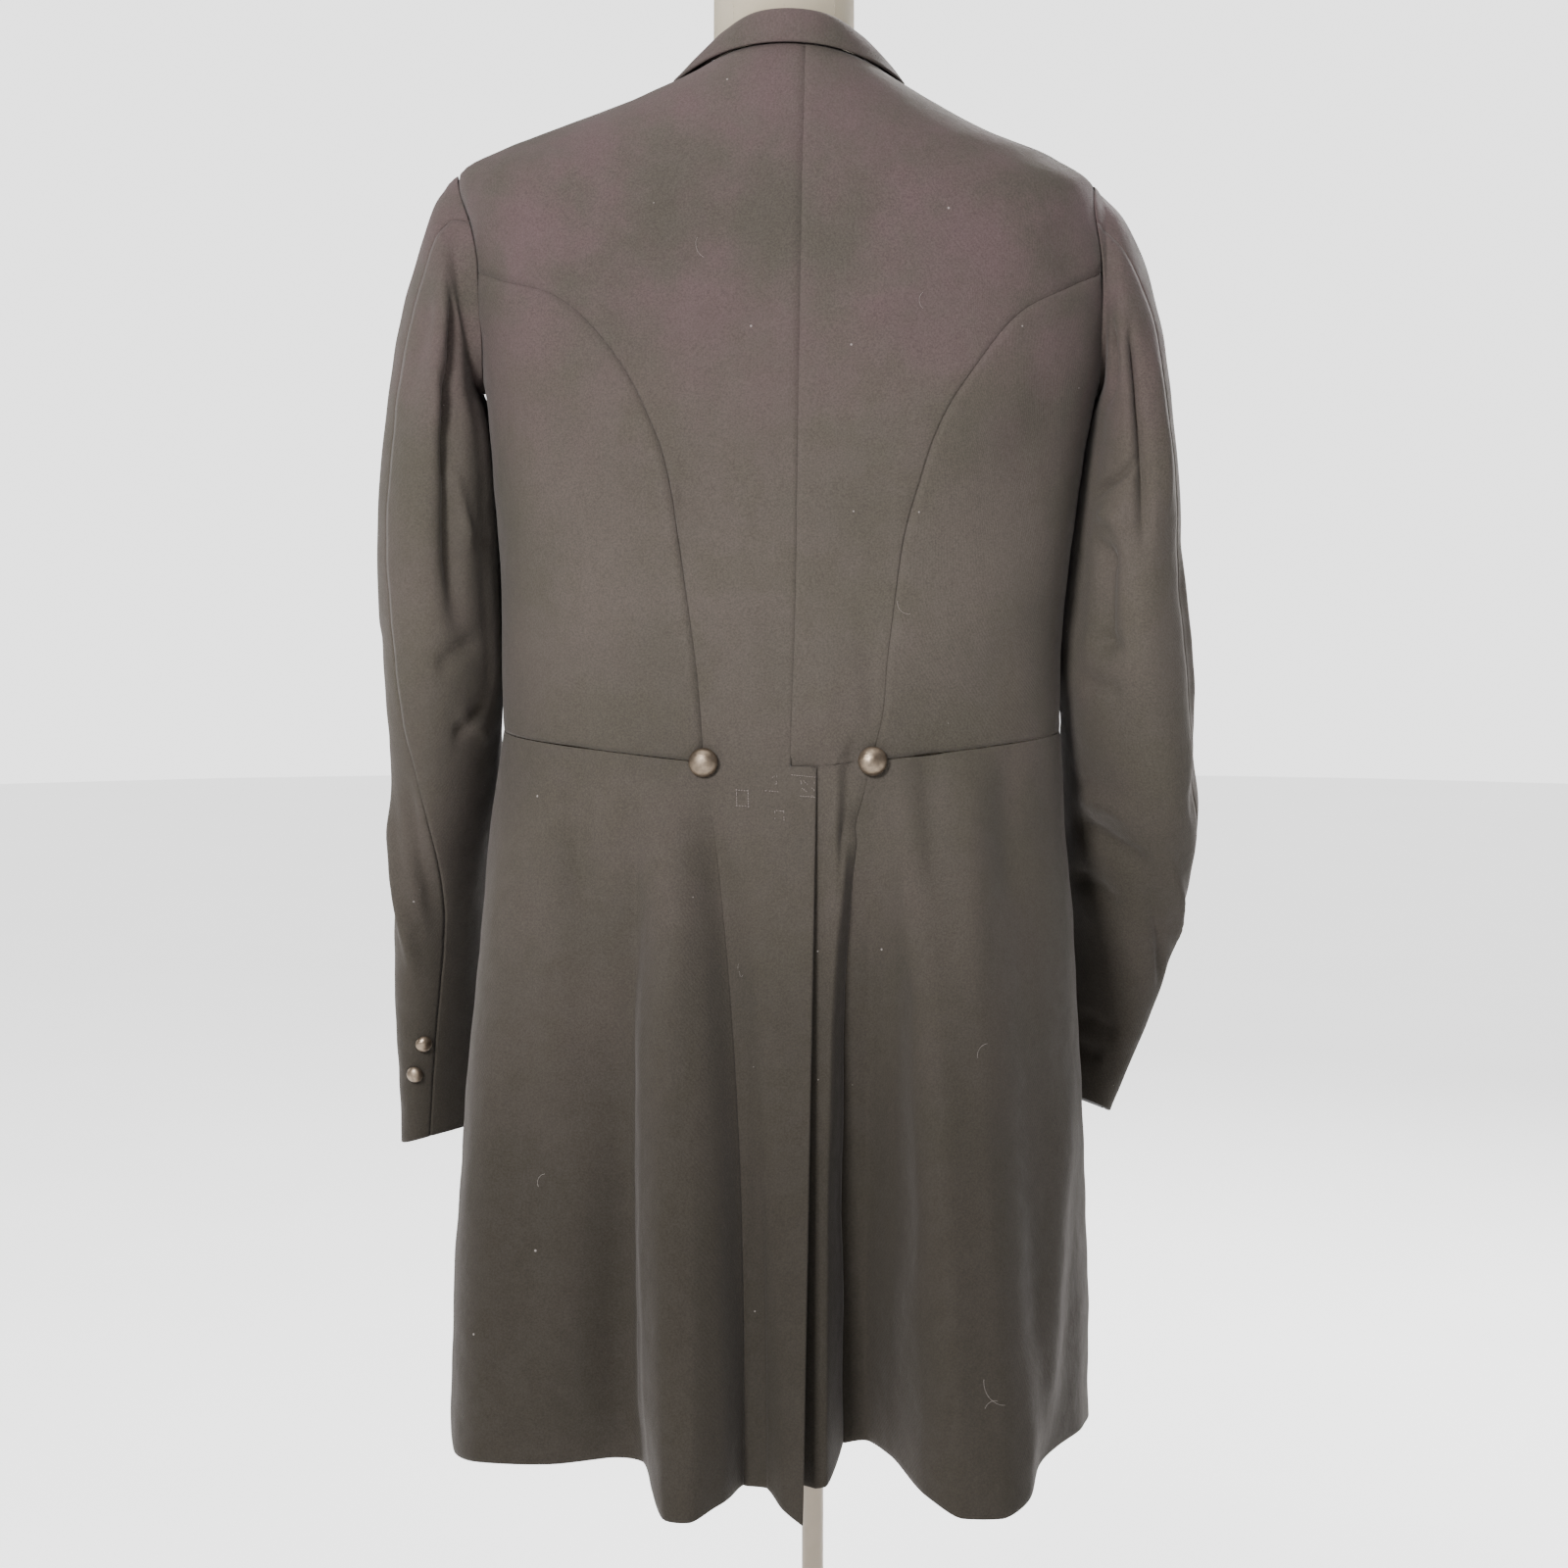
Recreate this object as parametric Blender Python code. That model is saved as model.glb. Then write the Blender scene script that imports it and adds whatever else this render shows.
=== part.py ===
"""A man's frock coat worn on a limbless dress form, in metres, with +Z up.

The wearer faces -Y, so the centre back is at +Y, the wearer's left at +X, and the pole stands on the
origin.  The body of the coat is one smooth surface read by angle and level; each panel is a patch cut
from it by its seam lines and given the thickness of the cloth.  Skirts and tails run from the waist of
that surface to a plan of folds at the hem.  Sleeves are rings along the arm.
"""

import bpy
import numpy as np

# Cloth and seams
WALL = 0.0018              # thickness of the wool with its canvas
SEAM_GAP = 0.0003          # between neighbouring pieces
ARMHOLE_GAP = 0.0008       # sleeve to the body under it
VENT_STEP = 0.0024         # how far the right tail lies under the left one
FRONT_STEP = 0.0032        # how far the left front stands over the right one
LAPEL_GAP = 0.0011
COLLAR_GAP = 0.0015
BUTTON_GAP = 0.0007
HIP_BUTTON_GAP = 0.0016    # its cloth flares below the waist
HIP_BUTTON_TILT = 0.12
COAT_SHIFT = 0.020         # the coat's middle stands this far to the wearer's left of the pole

# Form and stand
RIDGE_GAP = 0.0006         # form to coat along the shoulder seams, where the coat rests
FORM_EASE = 0.0060         # form to coat elsewhere
NECK_EASE = 0.0030         # more of it near the neck
RIDGE_WIDTH = 0.06         # sine of the angle in which the form falls away from the cloth
NECK_HALF_WIDTH = 0.0470
NECK_BACK = 0.053
NECK_FRONT = 0.036
NECK_TOP = 1.528
CAP_HEIGHT = 0.012
POLE_RADIUS = 0.0075
BASE_RADIUS = 0.180
BASE_HEIGHT = 0.016
SOCKET_RADIUS = 0.021
SOCKET_HEIGHT = 0.048

# Buttons: across
HIP_BUTTON = 0.0195
CUFF_BUTTON = 0.0118
FRONT_BUTTON = 0.0190

HEM = 0.545                # height of the hem where no fold lowers it
NECK_LEVEL = 9.0           # last row of BODY
TIP_LEVEL = 6.0            # row of BODY at the shoulder tip
SHOULDER_DEG = 4.0         # the shoulder seam lies this far behind the ridge
SIDE_SEAM_DEG = -3.0
FRONT_EDGE_DEG = -97.0     # the fronts reach this far, past the centre front at -90
ROLL_DEG = -52.0           # the roll line leaves the neck here
BREAK_LEVEL = 4.10         # and starts at this level of the front edge
FRONT_BUTTON_LEVELS = (0.35, 1.44, 2.24, 2.75, 3.46)
SHOULDER_TILT = 0.017      # the left shoulder is carried higher, in metres per metre across

# The coat's outer face, a row per level from the waist up: half width, depth of the back and of the
# front, sideways shift, height at the side, back and front, and how square the plan is
BODY = (
    (0.1890, 0.112, 0.112, 0.0020, 1.0085, 0.9940, 1.0060, 2.4),
    (0.1893, 0.115, 0.115, 0.0015, 1.0540, 1.0500, 1.0520, 2.45),
    (0.1915, 0.120, 0.120, 0.0005, 1.1020, 1.1050, 1.1020, 2.5),
    (0.2005, 0.123, 0.129, -0.0035, 1.2040, 1.2100, 1.2040, 2.7),
    (0.2090, 0.120, 0.130, -0.0050, 1.2600, 1.2720, 1.2600, 3.0),
    (0.2165, 0.114, 0.122, -0.0040, 1.3180, 1.3300, 1.3200, 3.0),
    (0.2130, 0.106, 0.104, 0.0050, 1.3740, 1.3770, 1.3700, 2.7),
    (0.1850, 0.098, 0.088, 0.0040, 1.3940, 1.4060, 1.3960, 2.3),
    (0.1310, 0.087, 0.068, 0.0020, 1.4160, 1.4350, 1.4140, 2.1),
    (0.0615, 0.071, 0.046, -0.0050, 1.4470, 1.4640, 1.4280, 2.0),
)

# The form below the waist: height, half width, depth behind and in front
FORM_HIPS = (
    (0.845, 0.165, 0.100, 0.088),
    (0.862, 0.171, 0.106, 0.093),
    (0.930, 0.176, 0.107, 0.098),
)

# Armhole seen from the side, from the shoulder seam backwards and round: y, z
ARMHOLE = (
    (0.0370, 1.3640),
    (0.0540, 1.3400),
    (0.0590, 1.3150),
    (0.0525, 1.2760),
    (0.0310, 1.2470),
    (-0.0050, 1.2370),
    (-0.0370, 1.2490),
    (-0.0545, 1.2800),
    (-0.0560, 1.3150),
    (-0.0440, 1.3480),
    (-0.0160, 1.3720),
)
BACK_OF_ARMHOLE = 3        # row where the side body's seam starts, the shoulder seam being row 0
FOOT_OF_ARMHOLE = 6        # row where the side seam starts

# Seam between back and side body from the armhole to the hip button: x and z on the left, on the right
SIDE_BODY_SEAM = (
    (0.1840, 1.3090, 0.1900, 1.3060),
    (0.1520, 1.3010, 0.1550, 1.2900),
    (0.1140, 1.2680, 0.1150, 1.2420),
    (0.0870, 1.2210, 0.0900, 1.1880),
    (0.0710, 1.1610, 0.0755, 1.1300),
    (0.0620, 1.0980, 0.0680, 1.0700),
    (0.0560, 1.0470, 0.0655, 1.0350),
)

# Centre back seam: level, x
CENTRE_BACK = ((0.0, -0.0040), (3.0, -0.0088), (9.0, -0.0140))

# Tails from the vent edge to the pleat, a row per crest or trough: x at the waist, x and y at the hem,
# dip of the hem there, and how fast the row moves sideways and back on the way down
LEFT_TAIL = (
    (-0.0210, -0.0112, 0.222, 0.0255, 1.0, 1.15),
    (0.0020, 0.0010, 0.212, 0.0185, 1.1, 1.2),
    (0.0330, 0.0125, 0.198, 0.0085, 2.0, 1.3),
    (0.0525, 0.0222, 0.201, 0.0083, 2.3, 1.3),
)
RIGHT_TAIL = (
    (-0.0140, -0.0100, 0.182, 0.0080, 1.0, 1.1),
    (0.0000, 0.0060, 0.190, 0.0080, 1.0, 1.1),
    (0.0210, 0.0200, 0.200, 0.0083, 1.2, 1.15),
    (0.0380, 0.0280, 0.197, 0.0080, 3.0, 1.2),
    (0.0575, 0.0385, 0.142, -0.0050, 6.0, 1.2),
)

# Skirts from the front edge back, a row per crest or trough: angle at the waist, x and y at the hem,
# dip of the hem there, and how fast the row moves sideways and out.  The tail's last row ends them.
LEFT_SKIRT = (
    (-97.0, -0.0180, -0.150, 0.0000, 1.7, 1.4),
    (-72.0, 0.0700, -0.153, 0.0000, 1.7, 1.4),
    (-47.0, 0.1400, -0.130, 0.0000, 1.7, 1.4),
    (-26.0, 0.1900, -0.083, 0.0000, 1.7, 1.5),
    (-9.0, 0.2190, -0.015, 0.0000, 1.7, 1.5),
    (4.0, 0.2256, 0.050, 0.0000, 1.7, 1.5),
    (13.0, 0.2190, 0.122, 0.0070, 1.7, 1.5),
    (20.0, 0.1970, 0.156, 0.0040, 1.7, 1.5),
    (30.0, 0.1550, 0.162, 0.0035, 1.6, 1.5),
    (41.0, 0.1100, 0.154, 0.0010, 1.5, 1.5),
    (46.0, 0.0915, 0.162, 0.0020, 1.5, 1.4),
    (49.0, 0.0850, 0.199, 0.0090, 1.6, 1.3),
    (52.5, 0.0760, 0.233, 0.0185, 1.7, 1.25),
    (56.5, 0.0600, 0.241, 0.0175, 1.8, 1.2),
    (61.0, 0.0420, 0.226, 0.0115, 2.0, 1.25),
)
RIGHT_SKIRT = (
    (-97.0, -0.0180, -0.146, 0.0000, 1.6, 1.4),
    (-72.0, 0.0800, -0.143, 0.0000, 1.6, 1.4),
    (-47.0, 0.1450, -0.115, 0.0000, 1.6, 1.5),
    (-26.0, 0.1860, -0.065, 0.0000, 1.6, 1.5),
    (-9.0, 0.2050, -0.005, 0.0000, 1.6, 1.5),
    (4.0, 0.2082, 0.050, 0.0000, 1.6, 1.5),
    (13.0, 0.2010, 0.090, -0.0010, 1.6, 1.5),
    (20.0, 0.1810, 0.140, -0.0020, 1.5, 1.5),
    (28.0, 0.1640, 0.181, 0.0000, 1.4, 1.4),
    (34.0, 0.1560, 0.215, 0.0110, 1.4, 1.3),
    (41.0, 0.1380, 0.236, 0.0165, 1.4, 1.3),
    (48.0, 0.1140, 0.239, 0.0155, 1.4, 1.3),
    (53.0, 0.0900, 0.222, 0.0060, 1.5, 1.3),
    (57.0, 0.0690, 0.170, -0.0050, 1.8, 1.3),
    (60.5, 0.0520, 0.142, -0.0070, 3.0, 1.2),
)

# Sleeves from just off the armhole to the cuff: outermost x and z, innermost x and z, middle y, half
# depth fore and aft, and how far the back of the ring turns outward (degrees)
LEFT_SLEEVE = (
    (0.2240, 1.3800, 0.2060, 1.2335, 0.002, 0.0600, 0.0),
    (0.2345, 1.3640, 0.2040, 1.2270, 0.002, 0.0670, 0.0),
    (0.2465, 1.3260, 0.2010, 1.2150, 0.002, 0.0715, 0.0),
    (0.2580, 1.2820, 0.1982, 1.1950, 0.002, 0.0735, 0.0),
    (0.2670, 1.2280, 0.1963, 1.1650, 0.001, 0.0745, 2.0),
    (0.2725, 1.1650, 0.1950, 1.1300, 0.000, 0.0745, 4.0),
    (0.2740, 1.1000, 0.1940, 1.0850, -0.001, 0.0740, 5.0),
    (0.2710, 1.0350, 0.1935, 1.0350, -0.005, 0.0730, 6.0),
    (0.2660, 0.9700, 0.1970, 0.9800, -0.018, 0.0715, 9.0),
    (0.2660, 0.9000, 0.2035, 0.9130, -0.042, 0.0690, 13.0),
    (0.2660, 0.8300, 0.2060, 0.8440, -0.064, 0.0670, 17.0),
    (0.2650, 0.7650, 0.2060, 0.7800, -0.082, 0.0650, 20.0),
    (0.2640, 0.7070, 0.2060, 0.7220, -0.096, 0.0640, 22.0),
)
RIGHT_SLEEVE = (
    (0.2130, 1.3715, 0.2135, 1.2320, 0.002, 0.0600, 0.0),
    (0.2260, 1.3560, 0.2110, 1.2250, 0.002, 0.0670, 0.0),
    (0.2415, 1.3220, 0.2080, 1.2130, 0.002, 0.0715, 0.0),
    (0.2530, 1.2800, 0.2052, 1.1950, 0.002, 0.0735, 0.0),
    (0.2615, 1.2270, 0.2010, 1.1650, 0.001, 0.0745, 2.0),
    (0.2665, 1.1650, 0.1968, 1.1300, 0.000, 0.0745, 4.0),
    (0.2690, 1.1000, 0.1925, 1.0850, -0.002, 0.0745, 6.0),
    (0.2740, 1.0350, 0.1905, 1.0400, -0.008, 0.0745, 9.0),
    (0.2820, 0.9700, 0.1940, 0.9850, -0.022, 0.0730, 12.0),
    (0.2790, 0.9050, 0.1955, 0.9250, -0.048, 0.0700, 16.0),
    (0.2660, 0.8400, 0.1920, 0.8620, -0.078, 0.0670, 19.0),
    (0.2460, 0.7780, 0.1860, 0.8000, -0.104, 0.0650, 21.0),
    (0.2250, 0.7220, 0.1760, 0.7440, -0.124, 0.0640, 23.0),
)
# The two seams of a sleeve, in degrees round the ring from its outermost point backwards: share of the
# way down, hind seam, front seam
LEFT_SLEEVE_SEAMS = (
    (0.0, 52.0, 232.0),
    (0.3, 44.0, 236.0),
    (0.6, 66.0, 242.0),
    (0.8, 128.0, 252.0),
    (0.9, 118.0, 253.0),
    (1.0, 111.0, 254.0),
)
RIGHT_SLEEVE_SEAMS = (
    (0.0, 52.0, 232.0),
    (0.3, 42.0, 236.0),
    (0.6, 40.0, 238.0),
    (0.8, 30.0, 232.0),
    (1.0, 24.0, 228.0),
)

# Cuff buttons: share of the way down the sleeve, and degrees in front of the hind seam
CUFF_BUTTONS = (("upper", 0.899, 14.0), ("lower", 0.928, 23.0))

# Collar, a row per place round the neck: degrees from the centre back, height of the stand, how far the
# fold leans in, how far apart the two layers are at the fold, and how far down the body the fall
# reaches, in levels
COLLAR = (
    (-137.0, 0.0050, 0.0000, 0.0030, 0.50),
    (-115.0, 0.0075, 0.0010, 0.0034, 0.34),
    (-85.0, 0.0140, 0.0055, 0.0040, 0.17),
    (-50.0, 0.0195, 0.0095, 0.0044, 0.10),
    (0.0, 0.0205, 0.0030, 0.0046, 0.06),
    (50.0, 0.0195, 0.0095, 0.0044, 0.10),
    (85.0, 0.0140, 0.0055, 0.0040, 0.17),
    (115.0, 0.0075, 0.0010, 0.0034, 0.34),
    (137.0, 0.0050, 0.0000, 0.0030, 0.50),
)

# Lapel's outer edge from the break up to the tip, then in along the notch: degrees, level
LAPEL_EDGE = ((-91.0, 4.70), (-78.0, 5.25), (-60.0, 5.90), (-43.0, 6.60))
LAPEL_NOTCH = (-46.5, 8.05)
RIGHT_LAPEL_START = 0.30   # share of the roll line that lies under the left front

# Number of cells
BACK_ACROSS = 10
BACK_RIDGE = 5             # of them along the shoulder seam
ARMHOLE_ROWS = 5
SEAM_ROWS = 12
TAIL_ROWS = 13
SIDE_BODY_ACROSS = 5
FOREPART_ACROSS = 9
FOREPART_ARMHOLE_ROWS = 6
SKIRT_ACROSS = 30
SLEEVE_AROUND = (11, 9)    # top sleeve, under sleeve
SLEEVE_ROWS = 17
COLLAR_AROUND = 28
LAPEL_CELLS = (4, 8)
FORM_AROUND = 30
BUTTON_AROUND = 12

# Linear colour, roughness and metallic of each finish
FINISHES = {
    "wool": ((0.055, 0.047, 0.043), 0.92, 0.0),
    "button_metal": ((0.22, 0.20, 0.18), 0.42, 1.0),
    "form_cover": ((0.72, 0.64, 0.52), 0.85, 0.0),
    "stand_paint": ((0.58, 0.50, 0.40), 0.45, 0.0),
}


def unit(v):
    return v / np.maximum(np.linalg.norm(v, axis=-1, keepdims=True), 1e-12)


def curve(knots, values, at):
    """Smooth line through the rows of a table that never overshoots them, read at the places in at."""
    knots = np.asarray(knots, float)
    values = np.asarray(values, float)
    at = np.asarray(at, float)
    step = np.diff(knots)[:, None]
    slope = np.diff(values, axis=0) / step
    ahead, behind = slope[1:], slope[:-1]
    same = ahead * behind > 0
    inner = np.where(same, 2 * ahead * behind / np.where(same, ahead + behind, 1.0), 0.0)
    tangent = np.vstack([slope[:1], inner, slope[-1:]])
    k = np.clip(np.searchsorted(knots, at, side="right") - 1, 0, len(knots) - 2)
    width = step[k]
    f = (at - knots[k])[..., None] / width
    return (
        values[k] * (1 + 2 * f) * (1 - f) ** 2
        + tangent[k] * width * f * (1 - f) ** 2
        + values[k + 1] * f * f * (3 - 2 * f)
        + tangent[k + 1] * width * f * f * (f - 1)
    )


def table(rows, places):
    """The rows of a table read at places counted in rows."""
    return curve(np.arange(len(rows)), rows, places)


def body(angle, level):
    """Point of the coat's outer face at an angle (radians) from the wearer's left and a level row."""
    angle, level = np.broadcast_arrays(np.asarray(angle, float), np.asarray(level, float))
    half, back, front, middle, z_side, z_back, z_front, square = np.moveaxis(table(BODY, level), -1, 0)
    c, s = np.cos(angle), np.sin(angle)
    deep = np.where(s >= 0, back, front)
    reach = (np.abs(c / half) ** square + np.abs(s / deep) ** square) ** (-1 / square)
    z = z_side * c * c + np.where(s >= 0, z_back, z_front) * s * s
    z = z + SHOULDER_TILT * reach * c * np.clip((level - 4.5) / 1.5, 0, 1)
    return np.stack([middle + reach * c, reach * s, z], axis=-1)


def body_normal(angle, level):
    """Direction out of the coat's body."""
    small = 1e-3
    around = body(angle + small, level) - body(angle - small, level)
    low, high = np.clip(level - small, 0, NECK_LEVEL), np.clip(level + small, 0, NECK_LEVEL)
    return unit(np.cross(around, body(angle, high) - body(angle, low)))


def on_side(degrees, side):
    """Angle on the body of a place told in degrees from the wearer's own side towards the back."""
    return np.radians(degrees) if side > 0 else np.pi - np.radians(degrees)


def name_of(side):
    return "left" if side > 0 else "right"


def chart_at(goal, axes, guess):
    """The angle and level where the body has the goal's two coordinates."""
    place = np.array(guess, float)
    small = 1e-4
    for _ in range(60):
        here = body(*place)[list(axes)]
        turned = body(place[0] + small, place[1])[list(axes)]
        raised = body(place[0], place[1] + small)[list(axes)]
        slopes = np.stack([turned - here, raised - here], axis=-1) / small
        place += np.clip(np.linalg.solve(slopes, np.asarray(goal) - here), -0.15, 0.15)
    return place


def waist_angle(x):
    """Angle at the back of the waist where the body has this x."""
    low, high = 0.02, np.pi - 0.02
    for _ in range(50):
        middle = (low + high) / 2
        if body(middle, 0.0)[0] > x:
            low = middle
        else:
            high = middle
    return (low + high) / 2


def centre_back(level):
    """Angle of the centre back seam at each level."""
    x = curve([row[0] for row in CENTRE_BACK], [[row[1]] for row in CENTRE_BACK], level)[..., 0]
    angle = np.full_like(x, np.pi / 2)
    for _ in range(8):
        here = body(angle, level)
        angle += (here[..., 0] - x) / here[..., 1]
    return angle


def even(points, count):
    """Chart points spread evenly, by distance on the body, along a smooth line through the given ones."""
    points = np.asarray(points, float)
    steps = np.linalg.norm(np.diff(body(points[:, 0], points[:, 1]), axis=0), axis=1)
    far = np.concatenate([[0], np.cumsum(steps)])
    return curve(far, points, np.linspace(0, far[-1], count + 1))


def straight(start, end, count):
    """Chart points in even steps from one place to another."""
    return np.linspace(start, end, count + 1)


def coons(bottom, top, left, right):
    """Patch of chart points between four boundary lines, indexed [across, up]."""
    u = np.linspace(0, 1, len(bottom))[:, None, None]
    v = np.linspace(0, 1, len(left))[None, :, None]
    across = (1 - v) * bottom[:, None] + v * top[:, None]
    upward = (1 - u) * left[None] + u * right[None]
    low = (1 - u) * bottom[0] + u * bottom[-1]
    high = (1 - u) * top[0] + u * top[-1]
    return across + upward - (1 - v) * low - v * high


def grid_normals(points, outward):
    """Directions square to a grid of points, on the side that the outward directions are on."""
    normals = unit(np.cross(np.gradient(points, axis=0), np.gradient(points, axis=1)))
    return normals * np.sign(np.sum(normals * outward))


def trimmed(points, normals, sides):
    """The grid with its named edges drawn in by half a seam's gap."""
    points = points.copy()
    edges = {
        "left": (np.s_[0, :], np.s_[1, :]),
        "right": (np.s_[-1, :], np.s_[-2, :]),
        "bottom": (np.s_[:, 0], np.s_[:, 1]),
        "top": (np.s_[:, -1], np.s_[:, -2]),
    }
    for side in sides:
        edge, inside = edges[side]
        inward = unit(np.cross(normals[edge], np.gradient(points[edge], axis=0)))
        towards = np.sum(inward * (points[inside] - points[edge]), axis=-1, keepdims=True)
        points[edge] += inward * np.sign(towards) * SEAM_GAP * 0.9
    return points


def add_object(name, finish, vertices, faces):
    """A smooth mesh object with its finish."""
    mesh = bpy.data.meshes.new(name)
    mesh.from_pydata([tuple(map(float, v)) for v in vertices], [], faces)
    mesh.shade_smooth()
    mesh.materials.append(bpy.data.materials[finish])
    obj = bpy.data.objects.new(name, mesh)
    bpy.context.scene.collection.objects.link(obj)


def add_sheet(name, outer, inner):
    """Cloth between two grids of points, its outer and its inner face, indexed [across, up]."""
    across_edge = outer[1:, :-1] - outer[:-1, :-1]
    up_edge = outer[:-1, 1:] - outer[:-1, :-1]
    if np.sum(np.cross(across_edge, up_edge) * (outer - inner)[:-1, :-1]) < 0:
        outer, inner = outer[::-1], inner[::-1]
    across, up = outer.shape[:2]
    layer = across * up

    def at(i, j):
        return i * up + j

    faces = []
    for i in range(across - 1):
        for j in range(up - 1):
            corners = (at(i, j), at(i + 1, j), at(i + 1, j + 1), at(i, j + 1))
            rising = np.linalg.norm(outer[i + 1, j + 1] - outer[i, j])
            falling = np.linalg.norm(outer[i, j + 1] - outer[i + 1, j])
            a, b, c, d = corners if rising <= falling else corners[1:] + corners[:1]
            faces.extend([(a, b, c), (a, c, d)])
            faces.extend([(layer + c, layer + b, layer + a), (layer + d, layer + c, layer + a)])
    rim = [at(i, 0) for i in range(across)]
    rim += [at(across - 1, j) for j in range(1, up)]
    rim += [at(i, up - 1) for i in range(across - 2, -1, -1)]
    rim += [at(0, j) for j in range(up - 2, 0, -1)]
    for a, b in zip(rim, rim[1:] + rim[:1]):
        faces.append((b, a, layer + a, layer + b))
    shift = np.array([COAT_SHIFT, 0, 0])
    vertices = np.vstack([outer.reshape(-1, 3), inner.reshape(-1, 3)]) + shift
    add_object(name, "wool", vertices, faces)


def add_rings(name, finish, rings, start, end):
    """A closed solid of equal rings of points, from a start point below to an end point above."""
    count = len(rings[0])
    vertices = [start, *(p for ring in rings for p in ring), end]
    faces = [(0, 1 + (k + 1) % count, 1 + k) for k in range(count)]
    for r in range(len(rings) - 1):
        low, high = 1 + r * count, 1 + (r + 1) * count
        for k in range(count):
            n = (k + 1) % count
            faces.append((low + k, low + n, high + n, high + k))
    last, tip = 1 + (len(rings) - 1) * count, 1 + len(rings) * count
    faces.extend((last + k, last + (k + 1) % count, tip) for k in range(count))
    add_object(name, finish, vertices, faces)


def add_turned(name, finish, profile, count, centre, axis):
    """A turned solid: profile rows are (radius, height along the axis), the first and last on the axis."""
    axis = unit(np.asarray(axis, float))
    side = unit(np.cross((0.0, 0.0, 1.0) if abs(axis[2]) < 0.9 else (1.0, 0.0, 0.0), axis))
    other = np.cross(axis, side)
    turn = np.linspace(0, 2 * np.pi, count, endpoint=False)[:, None]
    around = np.cos(turn) * side + np.sin(turn) * other
    centre = np.asarray(centre, float)
    rings = [centre + axis * height + radius * around for radius, height in profile[1:-1]]
    add_rings(name, finish, rings, centre + axis * profile[0][1], centre + axis * profile[-1][1])


def add_button(name, across, surface, direction, gap=BUTTON_GAP):
    """A domed button with a flat rim, standing just off the cloth."""
    r = across / 2
    profile = (
        (0, 0),
        (0.72 * r, 0),
        (r, 0.22 * r),
        (0.94 * r, 0.42 * r),
        (0.55 * r, 0.72 * r),
        (0, 0.84 * r),
    )
    direction = unit(direction)
    add_turned(name, "button_metal", profile, BUTTON_AROUND, surface + direction * gap, direction)


def add_body_sheet(name, chart, sides, raised=0.0):
    """A panel of the body from its chart points, raised off the body where a panel lies under it."""
    normals = body_normal(chart[..., 0], chart[..., 1])
    points = body(chart[..., 0], chart[..., 1]) + normals * np.broadcast_to(raised, chart.shape[:2])[..., None]
    points = trimmed(points, normals, sides)
    add_sheet(name, points, points - normals * WALL)


def armhole(side):
    """Chart points of the armhole's rows, from the shoulder seam backwards and round to it again."""
    tip = np.array([on_side(SHOULDER_DEG, side), TIP_LEVEL])
    rows = [chart_at(row, (1, 2), (on_side(300 * row[0], side), 5.0)) for row in ARMHOLE]
    return np.array([tip, *rows, tip])


def side_body_seam(side, rim):
    """Chart points of the seam from the back of the armhole to the hip button."""
    column = 0 if side > 0 else 2
    rows = [
        chart_at((side * row[column], row[column + 1]), (0, 2), (on_side(45.0, side), 3.5))
        for row in SIDE_BODY_SEAM
    ]
    foot = waist_angle(tail_rows(side)[-1][0])
    return np.array([rim[BACK_OF_ARMHOLE], *rows, (foot, 0.0)])


def shoulder_line(side, count):
    """Chart points along the shoulder seam, from the armhole to the neck."""
    level = np.linspace(TIP_LEVEL, NECK_LEVEL, 13)
    return even(np.stack([np.full(13, on_side(SHOULDER_DEG, side)), level], axis=-1), count)


def side_seam(side, rim):
    """Chart points of the seam under the armhole, from the waist up."""
    return straight((on_side(SIDE_SEAM_DEG, side), 0.0), rim[FOOT_OF_ARMHOLE], SEAM_ROWS)


def waist_line(start, end, count):
    """Chart points along the waist between two angles."""
    return straight((start, 0.0), (end, 0.0), count)


def roll_line(side, count):
    """Chart points from the break of the front up to where the roll leaves the neck."""
    low = (on_side(FRONT_EDGE_DEG, side), BREAK_LEVEL)
    high = (on_side(ROLL_DEG, side), NECK_LEVEL)
    middle = (0.55 * low[0] + 0.45 * high[0], 0.48 * low[1] + 0.52 * high[1])
    return even([low, middle, high], count)


def back_chart(side, rim, seam):
    """Chart points of the bodice part of a back [across from the centre, up from the waist]."""
    outer = np.vstack(
        [even(seam[::-1], SEAM_ROWS), even(rim[: BACK_OF_ARMHOLE + 1][::-1], ARMHOLE_ROWS)[1:]]
    )
    level = np.append(np.linspace(0, 5.1, SEAM_ROWS + 1), np.linspace(5.1, NECK_LEVEL, ARMHOLE_ROWS + 1)[1:])
    centre = np.stack([centre_back(level), level], axis=-1)
    neck = straight(centre[-1], (on_side(SHOULDER_DEG, side), NECK_LEVEL), BACK_ACROSS - BACK_RIDGE)
    top = np.vstack([neck, shoulder_line(side, BACK_RIDGE)[::-1][1:]])
    return coons(waist_line(centre[0, 0], outer[0, 0], BACK_ACROSS), top, centre, outer)


def side_body_chart(side, rim, seam):
    """Chart points of a side body [across from the back seam, up from the waist]."""
    back_edge = even(seam[::-1], SEAM_ROWS)
    side_edge = side_seam(side, rim)
    top = even(rim[BACK_OF_ARMHOLE : FOOT_OF_ARMHOLE + 1], SIDE_BODY_ACROSS)
    return coons(waist_line(back_edge[0, 0], side_edge[0, 0], SIDE_BODY_ACROSS), top, back_edge, side_edge)


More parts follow.
